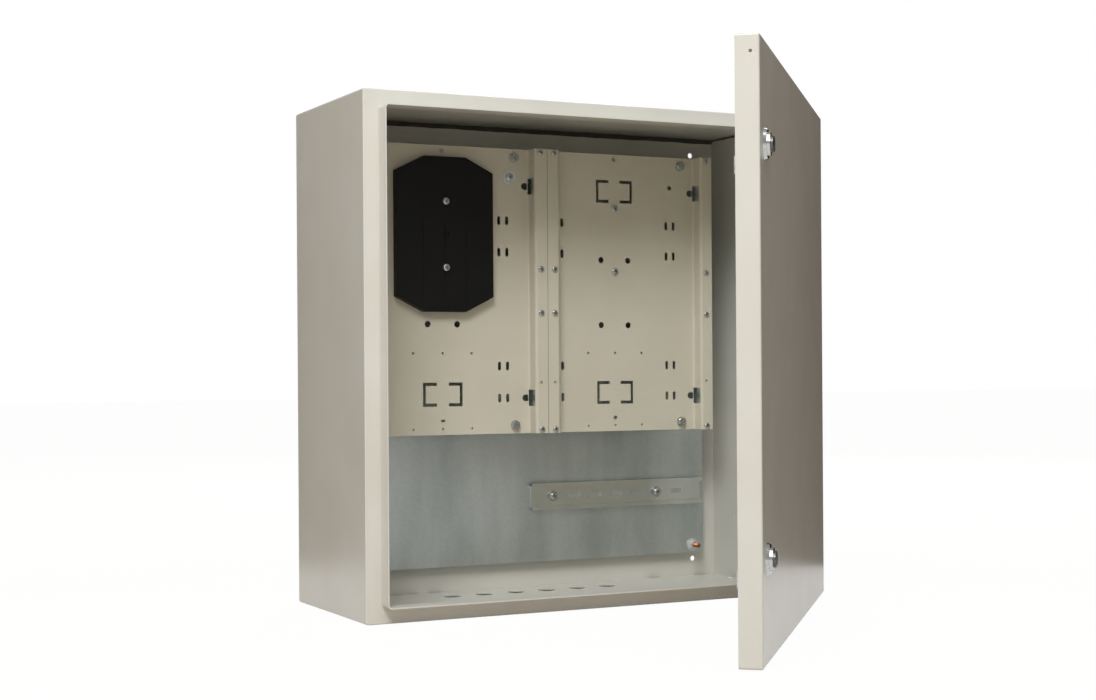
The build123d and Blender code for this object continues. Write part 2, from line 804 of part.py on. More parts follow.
# Nuts behind the trays
right_axis_x = meter_plate_centres["right"] + meter_axis_shift
left_axis_x = meter_plate_centres["left"] + meter_axis_shift
meter_screw_places = [(right_axis_x, z) for z in meter_screw_zs]
board_screw_places = [(left_axis_x, z) for z in meter_screw_zs]
earth_place = (meter_plate_centres["left"] + fold_x - earth_screw_fold_inset, meter_plate_top - earth_screw_drop)
with BuildPart() as tray_nuts:
    with BuildSketch(facing(tray_back)):
        with Locations(*meter_screw_places, *board_screw_places, earth_place):
            hexagon(meter_nut_flats)
            Circle(meter_screw_radius + thread_clearance, mode=Mode.SUBTRACT)
    extrude(amount=-meter_nut_height)
tray_nuts.part.label = "tray_nuts"
export_step(tray_nuts.part, "parts/tray_nuts.step")

# Earth screw of the first meter plate, with its washer
with BuildPart() as earth_washer:
    with BuildSketch(facing(tray_front)):
        with Locations(earth_place):
            Circle(earth_washer_radius)
            Circle(meter_screw_radius + hole_clearance, mode=Mode.SUBTRACT)
    extrude(amount=earth_washer_height)
earth_washer.part.label = "earth_washer"
export_step(earth_washer.part, "parts/earth_washer.step")

# Meter board: a moulded tray turned towards the plate, with a boss for each screw
board_z = meter_plate_top - board_drop - board_height / 2
board_front = tray_front - board_thickness


def board_outline(inset):
    """The board's eight-sided outline, drawn inwards by inset."""
    half_w = board_width / 2 - inset
    half_h = board_height / 2 - inset
    flat = board_top_flat / 2 - inset / 2
    shoulder = half_h - board_chamfer_height
    with Locations((left_axis_x, board_z)):
        Polygon(
            (flat, half_h),
            (half_w, shoulder),
            (half_w, -shoulder),
            (flat, -half_h),
            (-flat, -half_h),
            (-half_w, -shoulder),
            (-half_w, shoulder),
            (-flat, half_h),
            align=None,
        )


with BuildPart() as meter_board:
    with BuildSketch(facing(tray_front)):
        board_outline(0)
    extrude(amount=board_thickness)
    fillet(meter_board.faces().group_by(Axis.Y)[0].edges(), 1)
    with BuildSketch(facing(tray_front)):
        board_outline(board_wall)
        with Locations(*board_screw_places):
            Circle(board_boss_radius, mode=Mode.SUBTRACT)
    extrude(amount=board_thickness - board_wall, mode=Mode.SUBTRACT)
    with BuildSketch(facing(board_front)):
        for offset in (-board_rib_offset, 0, board_rib_offset):
            with Locations((left_axis_x + offset, board_z - board_height / 2 + board_rib_inset + board_rib_length / 2)):
                Rectangle(board_rib_width, board_rib_length)
    extrude(amount=board_rib_height)
    with BuildSketch(facing(board_front)):
        with Locations((left_axis_x, board_z)):
            Circle(board_recess_radius)
    extrude(amount=-board_recess_depth, mode=Mode.SUBTRACT)
    with BuildSketch(facing(board_front - board_rib_height)):
        with Locations(*board_screw_places):
            Circle(meter_screw_head_radius + hole_clearance)
    extrude(amount=-board_rib_height, mode=Mode.SUBTRACT)
    with BuildSketch(facing(board_front - board_rib_height)):
        with Locations(*board_screw_places):
            Circle(meter_screw_radius + hole_clearance)
    extrude(amount=-board_thickness - board_rib_height, mode=Mode.SUBTRACT)
meter_board.part.label = "meter_board"
export_step(meter_board.part, "parts/meter_board.step")

# Pan-head screws of the trays: for the second meter, for the board and for the earth wire
board_screw_length = board_thickness + sheet + meter_nut_height + 1
tray_screw_groups = {
    "meter_screws": (meter_screw_places, tray_front, meter_screw_length),
    "board_screws": (board_screw_places, board_front, board_screw_length),
    "earth_screw": ([earth_place], tray_front - earth_washer_height, meter_screw_length),
}
for name, (places, seat, length) in tray_screw_groups.items():
    with BuildPart() as tray_screw:
        with BuildSketch(facing(seat)):
            with Locations(*places):
                Circle(meter_screw_head_radius)
        extrude(amount=meter_screw_head_height)
        fillet(tray_screw.faces().group_by(Axis.Y)[0].edges(), meter_screw_head_height / 2)
        with BuildSketch(facing(seat)):
            with Locations(*places):
                Circle(meter_screw_radius)
        extrude(amount=-length)
    tray_screw.part.label = name
    export_step(tray_screw.part, f"parts/{name}.step")

# Door panel: a pan with folded edges, notched at the hinges and bored for the locks
lock_places = [(lock_x, z) for z in lock_zs.values()]
with BuildPart() as door_panel:
    with BuildSketch(door_facing(door_face)):
        RectangleRounded(door_width, door_height, corner_radius)
    extrude(amount=-door_depth)
    outward = Axis(door_facing(0).origin, door_facing(0).z_dir)
    fillet(door_panel.faces().sort_by(outward)[-1].edges(), door_fold_radius)
    with BuildSketch(door_facing(door_inner)):
        RectangleRounded(door_width - 2 * sheet, door_height - 2 * sheet, corner_radius - sheet)
    extrude(amount=-door_depth, mode=Mode.SUBTRACT)
    with BuildSketch(door_facing(door_face + door_depth)):
        with Locations(*[(door_width / 2, z) for z in hinge_zs.values()]):
            Rectangle(4 * sheet, 2 * hinge_notch_half_height)
    extrude(amount=hinge_notch_depth, mode=Mode.SUBTRACT)
    with BuildSketch(door_facing(door_inner)):
        with Locations(*lock_places):
            Circle(lock_barrel_radius + hole_clearance)
    extrude(amount=sheet, mode=Mode.SUBTRACT)
    with Locations(Plane(door_swing * Location(
        (-pin_x - door_width / 2, door_face + hanger_hole_from_face - pin_y, door_height / 2 - hanger_hole_drop),
        (0, 90, 0),
    ))):
        Cylinder(hanger_hole_radius, 4 * sheet, mode=Mode.SUBTRACT)
door_panel.part.label = "door_panel"
export_step(door_panel.part, "parts/door_panel.step")

# Gasket on the inside of the door, which closes against the front edge of the rim
gasket_centre_width = opening_width + sheet
gasket_centre_height = opening_height + sheet
with BuildPart() as door_gasket:
    with BuildSketch(door_facing(door_inner)):
        RectangleRounded(gasket_centre_width + gasket_width, gasket_centre_height + gasket_width, rim_corner_radius)
        RectangleRounded(
            gasket_centre_width - gasket_width,
            gasket_centre_height - gasket_width,
            rim_corner_radius / 2,
            mode=Mode.SUBTRACT,
        )
    extrude(amount=-(rim_front - door_inner - gasket_gap))
door_gasket.part.label = "door_gasket"
export_step(door_gasket.part, "parts/door_gasket.step")

# Hinges: a bracket on the front flange, a leaf on the door and a pin through both
bracket_left = half_width - bracket_inner_edge
leaf_left = half_width - leaf_inner_edge
web_left = pin_x - hinge_web / 2
for name, hinge_z in hinge_zs.items():
    with BuildPart() as hinge_bracket:
        with BuildSketch(facing(front)):
            with Locations(((bracket_left + web_left + hinge_web) / 2, hinge_z)):
                Rectangle(web_left + hinge_web - bracket_left, 2 * hinge_plate_half_height)
            with Locations((hinge_screw_x, hinge_z)):
                with GridLocations(0, hinge_screw_spacing, 1, 2):
                    Circle(hinge_screw_radius + hole_clearance, mode=Mode.SUBTRACT)
        extrude(amount=hinge_plate)
        with BuildSketch(level(hinge_z - knuckle_length)):
            with Locations((pin_x, (front + pin_y) / 2)):
                Rectangle(hinge_web, hinge_pin_forward)
            with Locations((pin_x, pin_y)):
                Circle(knuckle_radius)
                Circle(hinge_pin_radius + hinge_pin_seat_clearance, mode=Mode.SUBTRACT)
        extrude(amount=knuckle_length - knuckle_gap / 2)
    hinge_bracket.part.label = f"hinge_bracket_{name}"
    export_step(hinge_bracket.part, f"parts/hinge_bracket_{name}.step")

    with BuildPart() as hinge_leaf:
        with BuildSketch(door_facing(door_inner)):
            with Locations(((leaf_left + half_width - 1.2 * sheet) / 2, hinge_z)):
                Rectangle(half_width - 1.2 * sheet - leaf_left, 2 * hinge_plate_half_height)
            with Locations((hinge_screw_x, hinge_z)):
                with GridLocations(0, hinge_screw_spacing, 1, 2):
                    Circle(hinge_screw_radius + hole_clearance, mode=Mode.SUBTRACT)
        extrude(amount=-hinge_plate)
        with BuildSketch(door_level(hinge_z + knuckle_gap / 2)):
            with Locations((pin_x, (door_inner + pin_y) / 2)):
                Rectangle(hinge_web, pin_y - door_inner)
            with Locations((pin_x, pin_y)):
                Circle(knuckle_radius)
                Circle(hinge_pin_radius + hinge_pin_clearance, mode=Mode.SUBTRACT)
        extrude(amount=knuckle_length - knuckle_gap / 2)
    hinge_leaf.part.label = f"hinge_leaf_{name}"
    export_step(hinge_leaf.part, f"parts/hinge_leaf_{name}.step")

    with BuildPart() as hinge_pin:
        with BuildSketch(level(hinge_z - knuckle_length - 1)):
            with Locations((pin_x, pin_y)):
                Circle(hinge_pin_radius)
        extrude(amount=2 * knuckle_length + 2)
    hinge_pin.part.label = f"hinge_pin_{name}"
    export_step(hinge_pin.part, f"parts/hinge_pin_{name}.step")

# Screws and nuts of the hinge brackets, and studs and nuts of the hinge leaves
bracket_screw_length = hinge_plate + sheet + hinge_nut_height + hinge_stud_reach
with BuildPart() as bracket_screws:
    with BuildSketch(facing(front - hinge_plate)):
        with Locations(*hinge_screw_places):
            Circle(hinge_screw_head_radius)
    extrude(amount=hinge_screw_head_height)
    fillet(bracket_screws.faces().group_by(Axis.Y)[0].edges(), hinge_screw_head_height / 2)
    with BuildSketch(facing(front - hinge_plate)):
        with Locations(*hinge_screw_places):
            Circle(hinge_screw_radius)
    extrude(amount=-bracket_screw_length)
bracket_screws.part.label = "bracket_screws"
export_step(bracket_screws.part, "parts/bracket_screws.step")

with BuildPart() as bracket_nuts:
    with BuildSketch(facing(front + sheet)):
        with Locations(*hinge_screw_places):
            hexagon(hinge_nut_flats)
            Circle(hinge_screw_radius + thread_clearance, mode=Mode.SUBTRACT)
    extrude(amount=-hinge_nut_height)
bracket_nuts.part.label = "bracket_nuts"
export_step(bracket_nuts.part, "parts/bracket_nuts.step")

with BuildPart() as leaf_studs:
    with BuildSketch(door_facing(door_inner)):
        with Locations(*hinge_screw_places):
            Circle(hinge_screw_radius)
    extrude(amount=-(hinge_plate + hinge_nut_height + hinge_stud_reach))
leaf_studs.part.label = "leaf_studs"
export_step(leaf_studs.part, "parts/leaf_studs.step")

with BuildPart() as leaf_nuts:
    with BuildSketch(door_facing(door_inner + hinge_plate)):
        with Locations(*hinge_screw_places):
            hexagon(hinge_nut_flats)
            Circle(hinge_screw_radius + thread_clearance, mode=Mode.SUBTRACT)
    extrude(amount=-hinge_nut_height)
leaf_nuts.part.label = "leaf_nuts"
export_step(leaf_nuts.part, "parts/leaf_nuts.step")

# Locks: a housing through the door, its nut, a turning insert and a cam held by a screw
barrel_end = door_face + lock_barrel_length
cam_root_face = barrel_end + cam_gap
cam_root_back = cam_root_face + cam_thickness
cam_tip_face = front + sheet + cam_gap
cam_tip_back = cam_tip_face + cam_thickness
cam_tip_length = cam_length - cam_crank_start
insert_seat_face = door_face - lock_rosette_height - lock_collar_height + lock_insert_seat
insert_front = door_face - lock_rosette_height - lock_collar_height - lock_insert_height
for name, lock_z in lock_zs.items():
    with BuildPart() as lock_housing:
        with BuildSketch(door_facing(door_face)):
            with Locations((lock_x, lock_z)):
                Circle(lock_rosette_radius)
        extrude(amount=lock_rosette_height, taper=20)
        with BuildSketch(door_facing(door_face - lock_rosette_height)):
            with Locations((lock_x, lock_z)):
                Circle(lock_collar_radius)
        extrude(amount=lock_collar_height, taper=8)
        with BuildSketch(door_facing(door_face)):
            with Locations((lock_x, lock_z)):
                Circle(lock_barrel_radius)
        extrude(amount=-(barrel_end - door_face))
        with BuildSketch(door_facing(insert_seat_face)):
            with Locations((lock_x, lock_z)):
                Circle(lock_insert_radius + lock_running_clearance)
        extrude(amount=lock_insert_seat, mode=Mode.SUBTRACT)
        with BuildSketch(door_facing(insert_seat_face)):
            with Locations((lock_x, lock_z)):
                Circle(lock_shaft_radius + lock_running_clearance)
        extrude(amount=-(barrel_end - insert_seat_face), mode=Mode.SUBTRACT)
    lock_housing.part.label = f"lock_housing_{name}"
    export_step(lock_housing.part, f"parts/lock_housing_{name}.step")

    with BuildPart() as lock_nut:
        with BuildSketch(door_facing(door_inner)):
            with Locations((lock_x, lock_z)):
                hexagon(lock_nut_flats)
                Circle(lock_barrel_radius + thread_clearance, mode=Mode.SUBTRACT)
        extrude(amount=-lock_nut_height)
    lock_nut.part.label = f"lock_nut_{name}"
    export_step(lock_nut.part, f"parts/lock_nut_{name}.step")

    with BuildPart() as lock_insert:
        with BuildSketch(door_facing(insert_seat_face - lock_running_clearance)):
            with Locations((lock_x, lock_z)):
                Circle(lock_insert_radius)
        extrude(amount=insert_seat_face - lock_running_clearance - insert_front)
        chamfer(lock_insert.faces().sort_by(outward)[-1].edges(), 0.6)
        with BuildSketch(door_facing(insert_front)):
            with Locations((lock_x, lock_z)):
                Circle(lock_socket_radius)
                Circle(lock_key_radius, mode=Mode.SUBTRACT)
                Rectangle(lock_key_thickness, 2 * lock_key_wing, mode=Mode.SUBTRACT)
        extrude(amount=-lock_socket_depth, mode=Mode.SUBTRACT)
        with BuildSketch(door_facing(insert_seat_face - lock_running_clearance)):
            with Locations((lock_x, lock_z)):
                Circle(lock_shaft_radius)
        extrude(amount=-(cam_root_face - insert_seat_face + lock_running_clearance))
        with BuildSketch(door_facing(cam_root_face)):
            with Locations((lock_x, lock_z)):
                Rectangle(cam_square, cam_square)
        extrude(amount=-cam_thickness)
        with BuildSketch(door_facing(cam_root_back)):
            with Locations((lock_x, lock_z)):
                Circle(cam_screw_radius + thread_clearance)
        extrude(amount=cam_screw_depth, mode=Mode.SUBTRACT)
    lock_insert.part.label = f"lock_insert_{name}"
    export_step(lock_insert.part, f"parts/lock_insert_{name}.step")

    with BuildPart() as lock_cam:
        with BuildSketch(door_facing(cam_root_face)):
            with Locations((lock_x, lock_z - (cam_crank_end - cam_tail) / 2)):
                Rectangle(cam_width, cam_crank_end + cam_tail)
            with Locations((lock_x, lock_z)):
                Rectangle(cam_square + 2 * thread_clearance, cam_square + 2 * thread_clearance, mode=Mode.SUBTRACT)
        extrude(amount=-cam_thickness)
        with BuildSketch(door_facing(cam_root_face)):
            with Locations((lock_x, lock_z - (cam_crank_start + cam_crank_end) / 2)):
                Rectangle(cam_width, cam_crank_end - cam_crank_start)
        extrude(amount=cam_root_face - cam_tip_back)
        with BuildSketch(door_facing(cam_tip_face)):
            with Locations((lock_x, lock_z - cam_crank_start - cam_tip_length / 2)):
                Rectangle(cam_width, cam_tip_length)
        extrude(amount=-cam_thickness)
    lock_cam.part.label = f"lock_cam_{name}"
    export_step(lock_cam.part, f"parts/lock_cam_{name}.step")

    with BuildPart() as cam_screw:
        with BuildSketch(door_facing(cam_root_back)):
            with Locations((lock_x, lock_z)):
                Circle(cam_screw_head_radius)
        extrude(amount=-cam_screw_head_height)
        with BuildSketch(door_facing(cam_root_back)):
            with Locations((lock_x, lock_z)):
                Circle(cam_screw_radius)
        extrude(amount=cam_screw_depth - 1)
    cam_screw.part.label = f"cam_screw_{name}"
    export_step(cam_screw.part, f"parts/cam_screw_{name}.step")
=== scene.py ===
# %% [markdown]
# # A steel meter cabinet, dressed in Blender
# The real object is a wall cabinet of folded sheet steel with its door half open. Its solids were made
# beforehand, at full size and in metres. This file gives them their finishes, models the small pieces
# that a close look asks for, and sets up a plain studio around them. First the solids come in. Nothing
# that is added may grow it.

# %% Load the solids
import math

import bpy
from mathutils import Matrix, Vector


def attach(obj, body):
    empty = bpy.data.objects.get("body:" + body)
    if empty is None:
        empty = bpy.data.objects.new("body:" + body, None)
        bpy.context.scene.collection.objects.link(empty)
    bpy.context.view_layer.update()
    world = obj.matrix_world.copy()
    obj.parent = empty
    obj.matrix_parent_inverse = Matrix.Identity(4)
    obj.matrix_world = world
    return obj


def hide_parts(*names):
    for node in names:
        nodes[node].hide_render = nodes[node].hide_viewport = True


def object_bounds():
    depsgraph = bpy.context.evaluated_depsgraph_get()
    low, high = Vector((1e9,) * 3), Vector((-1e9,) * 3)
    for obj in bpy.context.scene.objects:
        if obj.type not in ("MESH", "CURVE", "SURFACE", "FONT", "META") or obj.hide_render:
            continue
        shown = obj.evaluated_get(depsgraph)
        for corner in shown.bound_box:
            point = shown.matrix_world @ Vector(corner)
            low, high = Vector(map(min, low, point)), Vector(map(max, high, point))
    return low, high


MM = 0.001  # lengths below are noted in millimetres, and the scene is in metres
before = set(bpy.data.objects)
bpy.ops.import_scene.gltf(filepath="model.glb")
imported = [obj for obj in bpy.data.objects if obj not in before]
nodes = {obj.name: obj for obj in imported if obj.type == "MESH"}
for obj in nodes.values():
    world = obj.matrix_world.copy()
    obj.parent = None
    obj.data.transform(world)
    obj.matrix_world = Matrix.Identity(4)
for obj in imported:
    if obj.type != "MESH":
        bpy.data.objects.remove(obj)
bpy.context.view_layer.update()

# %% [markdown]
# ## Colours and node helpers
# Colours are written as a painter would note them, in sRGB hex. Blender works in linear light, so one
# function turns them. A second small function adds a shader node with its settings and links. Every
# finish below is built with these two, in code and not by hand, so that a value can be changed in one
# place and the file run again.

# %% Colour and node helpers


def linear(hex_colour):
    """An sRGB hex colour as linear red, green, blue and alpha."""
    channels = [int(hex_colour[i : i + 2], 16) / 255 for i in (1, 3, 5)]
    turned = [c / 12.92 if c <= 0.04045 else ((c + 0.055) / 1.055) ** 2.4 for c in channels]
    return (*turned, 1.0)


def add_node(owner, kind, settings=None, inputs=None, links=None):
    """Adds a shader node with its settings and socket values, fed by (node, output) pairs."""
    node = owner.node_tree.nodes.new(kind)
    for name, value in (settings or {}).items():
        setattr(node, name, value)
    for name, value in (inputs or {}).items():
        node.inputs[name].default_value = value
    for name, (source, output) in (links or {}).items():
        owner.node_tree.links.new(source.outputs[output], node.inputs[name])
    return node


def new_finish(name, sockets):
    """An empty finish: its material, its Principled shader and a Texture Coordinate node."""
    material = bpy.data.materials.new(name)
    material.use_nodes = True
    shader = material.node_tree.nodes["Principled BSDF"]
    for socket, value in sockets.items():
        shader.inputs[socket].default_value = value
    return material, shader, add_node(material, "ShaderNodeTexCoord")


print("half grey in linear light:", round(linear("#808080")[0], 3))

# %% [markdown]
# ## One pattern for colour and gloss
# Where paint, zinc or plastic is a little darker, it is mostly a little smoother or rougher too. So one
# pattern drives both: it slides the colour from one tone to a near one, and the roughness from one
# value to another. Two separate patterns would look like stains. A Mix node has sockets of the same
# name for numbers, vectors and colours, so its colour sockets are called by their numbers.

# %% Tint and gloss from one pattern
MIX_SHARE, MIX_FIRST, MIX_SECOND, MIX_COLOUR = 0, 6, 7, 2


def tint_and_gloss(material, shader, pattern, edges, tones, roughness):
    """Slides tone and roughness along a pattern, and the tone only between the pattern's two edges."""
    share = add_node(
        material,
        "ShaderNodeMapRange",
        inputs={"From Min": edges[0], "From Max": edges[1]},
        links={"Value": pattern},
    )
    tint = add_node(
        material,
        "ShaderNodeMix",
        {"data_type": "RGBA"},
        {MIX_FIRST: linear(tones[0]), MIX_SECOND: linear(tones[1])},
        {MIX_SHARE: (share, "Result")},
    )
    gloss = add_node(
        material,
        "ShaderNodeMapRange",
        inputs={"To Min": roughness[0], "To Max": roughness[1]},
        links={"Value": pattern},
    )
    material.node_tree.links.new(tint.outputs[MIX_COLOUR], shader.inputs["Base Color"])
    material.node_tree.links.new(gloss.outputs["Result"], shader.inputs["Roughness"])


print("colour sockets of a Mix node:", MIX_FIRST, MIX_SECOND)

# %% [markdown]
# ## Powder coat
# The case and the door are sprayed with dry paint powder and baked. The melt leaves a fine orange peel,
# here with bumps 1.6 mm apart, a little coarser than the real 1 mm so that they show. Baked powder is
# even in colour, so only a faint cloudiness and a slight change of gloss are added, a hand wide. Bump is
# enough for the peel, because it is a few hundredths of a millimetre high. A plastic film has an IOR of
# 1.5.

# %% Powder coat of case, door and meter plates
PAINT_CLOUD = 90 * MM
ORANGE_PEEL = 1.6 * MM


def powder_coat(name, colour, cloud_colour, roughness, peel_height):
    """Baked powder paint: clouds of two near colours under an orange peel."""
    material, shader, place = new_finish(name, {"IOR": 1.5})
    clouds = add_node(
        material,
        "ShaderNodeTexNoise",
        inputs={"Scale": 1 / PAINT_CLOUD, "Detail": 2.0, "Roughness": 0.5},
        links={"Vector": (place, "Object")},
    )
    gloss = (roughness - 0.01, roughness + 0.015)
    tint_and_gloss(material, shader, (clouds, "Fac"), (0.3, 0.7), (cloud_colour, colour), gloss)
    peel = add_node(
        material,
        "ShaderNodeTexNoise",
        inputs={"Scale": 1 / ORANGE_PEEL, "Detail": 2.0, "Roughness": 0.5},
        links={"Vector": (place, "Object")},
    )
    bump = add_node(
        material,
        "ShaderNodeBump",
        inputs={"Strength": 0.6, "Distance": peel_height},
        links={"Height": (peel, "Fac")},
    )
    material.node_tree.links.new(bump.outputs["Normal"], shader.inputs["Normal"])
    return material


# Light grey semi-gloss: a broad soft mirror where it is seen edge on.
case_paint = powder_coat("case_powder_coat", "#DBDAD2", "#D7D5CC", 0.26, 0.02 * MM)
# Cream, nearer to matt, with a peel that breaks up what it mirrors.
tray_paint = powder_coat("tray_powder_coat", "#D6D1C1", "#D1CCBB", 0.42, 0.03 * MM)
print("powder coats:", case_paint.name, tray_paint.name)

# %% [markdown]
# ## Galvanised sheet
# The mounting plate, the device rail and the support rails are cut from sheet that was drawn through
# molten zinc. The zinc freezes in flat crystals, the spangle, each of which mirrors another way. On thin
# modern sheet they are small, so cells of 3 mm change the colour and the gloss only a little. What the
# eye sees first are upright bands and clouds, a hand wide, where the zinc ran off. They are a noise that
# is drawn out four times in height, and most of the pattern is theirs.

# %% Galvanised sheet
SPANGLE = 3 * MM
ZINC_BAND = 70 * MM
BAND_SQUEEZE = (1.0, 1.0, 0.25)
BAND_SHARE = 0.94


def galvanised_sheet(name, bright, dark, roughness):
    """Fine zinc spangle under broad upright bands."""
    material, shader, place = new_finish(name, {"Metallic": 1.0})
    cells = add_node(
        material,
        "ShaderNodeTexVoronoi",
        inputs={"Scale": 1 / SPANGLE, "Randomness": 1.0},
        links={"Vector": (place, "Object")},
    )
    grain = add_node(material, "ShaderNodeSeparateColor", links={"Color": (cells, "Color")})
    drawn_out = add_node(
        material, "ShaderNodeMapping", inputs={"Scale": BAND_SQUEEZE}, links={"Vector": (place, "Object")}
    )
    bands = add_node(
        material,
        "ShaderNodeTexNoise",
        inputs={"Scale": 1 / ZINC_BAND, "Detail": 3.0, "Roughness": 0.55},
        links={"Vector": (drawn_out, "Vector")},
    )
    mixed = add_node(
        material,
        "ShaderNodeMix",
        {"data_type": "FLOAT"},
        {"Factor": BAND_SHARE},
        {"A": (grain, "Red"), "B": (bands, "Fac")},
    )
    gloss = (roughness - 0.05, roughness + 0.08)
    tint_and_gloss(material, shader, (mixed, "Result"), (0.32, 0.64), (dark, bright), gloss)
    bump = add_node(
        material,
        "ShaderNodeBump",
        inputs={"Strength": 0.2, "Distance": 0.01 * MM},
        links={"Height": (mixed, "Result")},
    )
    material.node_tree.links.new(bump.outputs["Normal"], shader.inputs["Normal"])
    return material


# Bluish grey and soft: it takes on the light of the room in bands.
galvanised = galvanised_sheet("galvanised_spangle", "#DDE4E5", "#BCC6C8", 0.4)
# The rail is rolled after plating, so it is smoother and paler.
rail_zinc = galvanised_sheet("rail_zinc", "#E9ECEA", "#D6DAD8", 0.24)
print("galvanised sheet:", galvanised.name, rail_zinc.name)

# %% [markdown]
# ## Plated metals
# Screws, nuts, washers and hinges are zinc-plated, and those of the earth points are paler and duller.
# The earth stud is copper-plated. The locks are zinc castings under satin chrome, with a duller nickel
# insert for the key. Plating is thin and mirrors softly, and a noise of 2 mm dulls it unevenly, as
# handling does. One function serves all five, because only their colour and gloss differ.

# %% Plated metals
HANDLING_MARK = 2 * MM


def plated(name, bright, dull, roughness):
    """A thin bright plating, dulled in patches."""
    material, shader, place = new_finish(name, {"Metallic": 1.0})
    patches = add_node(
        material,
        "ShaderNodeTexNoise",
        inputs={"Scale": 1 / HANDLING_MARK, "Detail": 3.0},
        links={"Vector": (place, "Object")},
    )
    gloss = (roughness - 0.06, roughness + 0.08)
    tint_and_gloss(material, shader, (patches, "Fac"), (0.3, 0.7), (dull, bright), gloss)
    return material


# Clear bright zinc: small sharp glints on the heads.
zinc_plate = plated("bright_zinc_plate", "#CFD2D2", "#B4B8B8", 0.28)
# Pale zinc with hardly a glint, near to white.
pale_zinc = plated("dull_pale_zinc", "#ECEEEE", "#DADDDD", 0.6)
# Copper that has browned: a warm spot in a grey case.
copper_plate = plated("copper_plate", "#B67C60", "#94593F", 0.36)
# Satin chrome: the clearest mirror on the cabinet, neutral in colour.
lock_chrome = plated("satin_chrome", "#CBCBC9", "#B5B5B2", 0.2)
# Dull nickel, dark enough to set the key's hole off from its ring.
socket_nickel = plated("dull_nickel", "#7C7B78", "#636260", 0.38)
metals = (zinc_plate, pale_zinc, copper_plate, lock_chrome, socket_nickel)
print("plated:", [metal.name for metal in metals])

# %% [markdown]
# ## Plastic, sealant and foam
# The meter board is moulded in black phenolic plastic: its mould was finely eroded, which leaves a satin
# grain of about 0.8 mm. The seam sealant was brushed on and dried matt; its dark tone is partly painted
# shade of the roof's back corner, where it sits. The gasket is foam poured in place, with a fine open
# skin. All three are dull and grained, so they share one function, with the grain's size and height as
# their difference.

# %% Plastic, sealant and foam


def moulded(name, tones, roughness, grain_size, grain_height, patch_size, specular=0.5):
    """A dull surface with a grain: moulded plastic, dried sealant or foam skin."""
    material, shader, place = new_finish(name, {"IOR": 1.5, "Specular IOR Level": specular})
    patches = add_node(
        material,
        "ShaderNodeTexNoise",
        inputs={"Scale": 1 / patch_size, "Detail": 4.0},
        links={"Vector": (place, "Object")},
    )
    gloss = (roughness - 0.05, roughness + 0.06)
    tint_and_gloss(material, shader, (patches, "Fac"), (0.35, 0.75), tones, gloss)
    grain = add_node(
        material,
        "ShaderNodeTexNoise",
        inputs={"Scale": 1 / grain_size, "Detail": 2.0},
        links={"Vector": (place, "Object")},
    )
    bump = add_node(
        material,
        "ShaderNodeBump",
        inputs={"Strength": 0.7, "Distance": grain_height},
        links={"Height": (grain, "Fac")},
    )
    material.node_tree.links.new(bump.outputs["Normal"], shader.inputs["Normal"])
    return material


# Deep black with a weak, even sheen.
board_plastic = moulded(
    "black_phenolic", ("#030303", "#070708"), 0.52, 0.8 * MM, 0.03 * MM, 25 * MM, specular=0.3
)
# Brownish grey without any sheen, and coarse from the brush. Its darkness is partly painted shade of the
# roof's back corner.
sealant_and_corner_shade = moulded(
    "sealant_and_corner_shade", ("#4A463D", "#5B564B"), 0.7, 2.5 * MM, 0.3 * MM, 12 * MM
)
# Charcoal foam, the dullest surface here.
gasket_foam = moulded("gasket_foam", ("#232221", "#302E2C"), 0.85, 0.7 * MM, 0.12 * MM, 8 * MM)
print("dull finishes:", board_plastic.name, sealant_and_corner_shade.name, gasket_foam.name)

# %% [markdown]
# ## Which piece wears what
# Each solid keeps its shape and gets its finish in its material slot. Most nodes are fasteners and
# hinges, so bright zinc is what a node gets that the list doesn't name.

# %% Finish every solid
finishes = {
    case_paint: ["body_shell", "back_panel", "door_panel"],
    tray_paint: ["meter_plate_left", "meter_plate_right"],
    galvanised: ["mounting_plate", "support_rail_left", "support_rail_centre", "support_rail_right"],
    rail_zinc: ["din_rail"],
    copper_plate: ["earth_stud"],
    pale_zinc: ["earth_stud_washer", "earth_washer"],
    lock_chrome: ["lock_housing_upper", "lock_housing_lower"],
    socket_nickel: ["lock_insert_upper", "lock_insert_lower"],
    board_plastic: ["meter_board"],
    sealant_and_corner_shade: ["roof_sealant"],
    gasket_foam: ["door_gasket"],
}
finish_of = {name: material for material, names in finishes.items() for name in names}
for name, solid in nodes.items():
    solid.data.materials.clear()
    solid.data.materials.append(finish_of.get(name, zinc_plate))
print(sum(1 for name in nodes if name not in finish_of), "zinc-plated nodes of fasteners and hinges")

# %% [markdown]
# ## Where the small pieces sit
# One node often holds several equal fasteners, such as the eight screws of a meter plate. Their places
# are read from the solids themselves and not typed again: triangles that share a corner belong to one
# solid, and each solid gives its own box. A fastener's axis runs along Y, so it goes through the middle
# of the box in X and Z.

# %% Boxes and axes of the separate solids in a node


def solids_of(name):
    """Lowest and highest corner of each separate solid in a node."""
    mesh = nodes[name].data
    keys = [tuple(round(value * 1e6) for value in vertex.co) for vertex in mesh.vertices]
    parent = {key: key for key in keys}

    def root(key):
        while parent[key] != key:
            parent[key] = parent[parent[key]]
            key = parent[key]
        return key

    for polygon in mesh.polygons:
        first = keys[polygon.vertices[0]]
        for index in polygon.vertices[1:]:
            parent[root(keys[index])] = root(first)
    groups = {}
    for key in parent:
        groups.setdefault(root(key), []).append(key)
    boxes = []
    for points in groups.values():
        lowest = Vector([min(point[axis] for point in points) / 1e6 for axis in range(3)])
        highest = Vector([max(point[axis] for point in points) / 1e6 for axis in range(3)])
        boxes.append((lowest, highest))
    return sorted(boxes, key=lambda box: (round(box[0].z, 4), round(box[0].x, 4)))


def on_axis(box, depth):
    """The point of a fastener's axis at a given depth on Y."""
    lowest, highest = box
    return Vector(((lowest.x + highest.x) / 2, depth, (lowest.z + highest.z) / 2))


print(len(solids_of("strip_screws_left")), "screws in the left meter plate's strips")

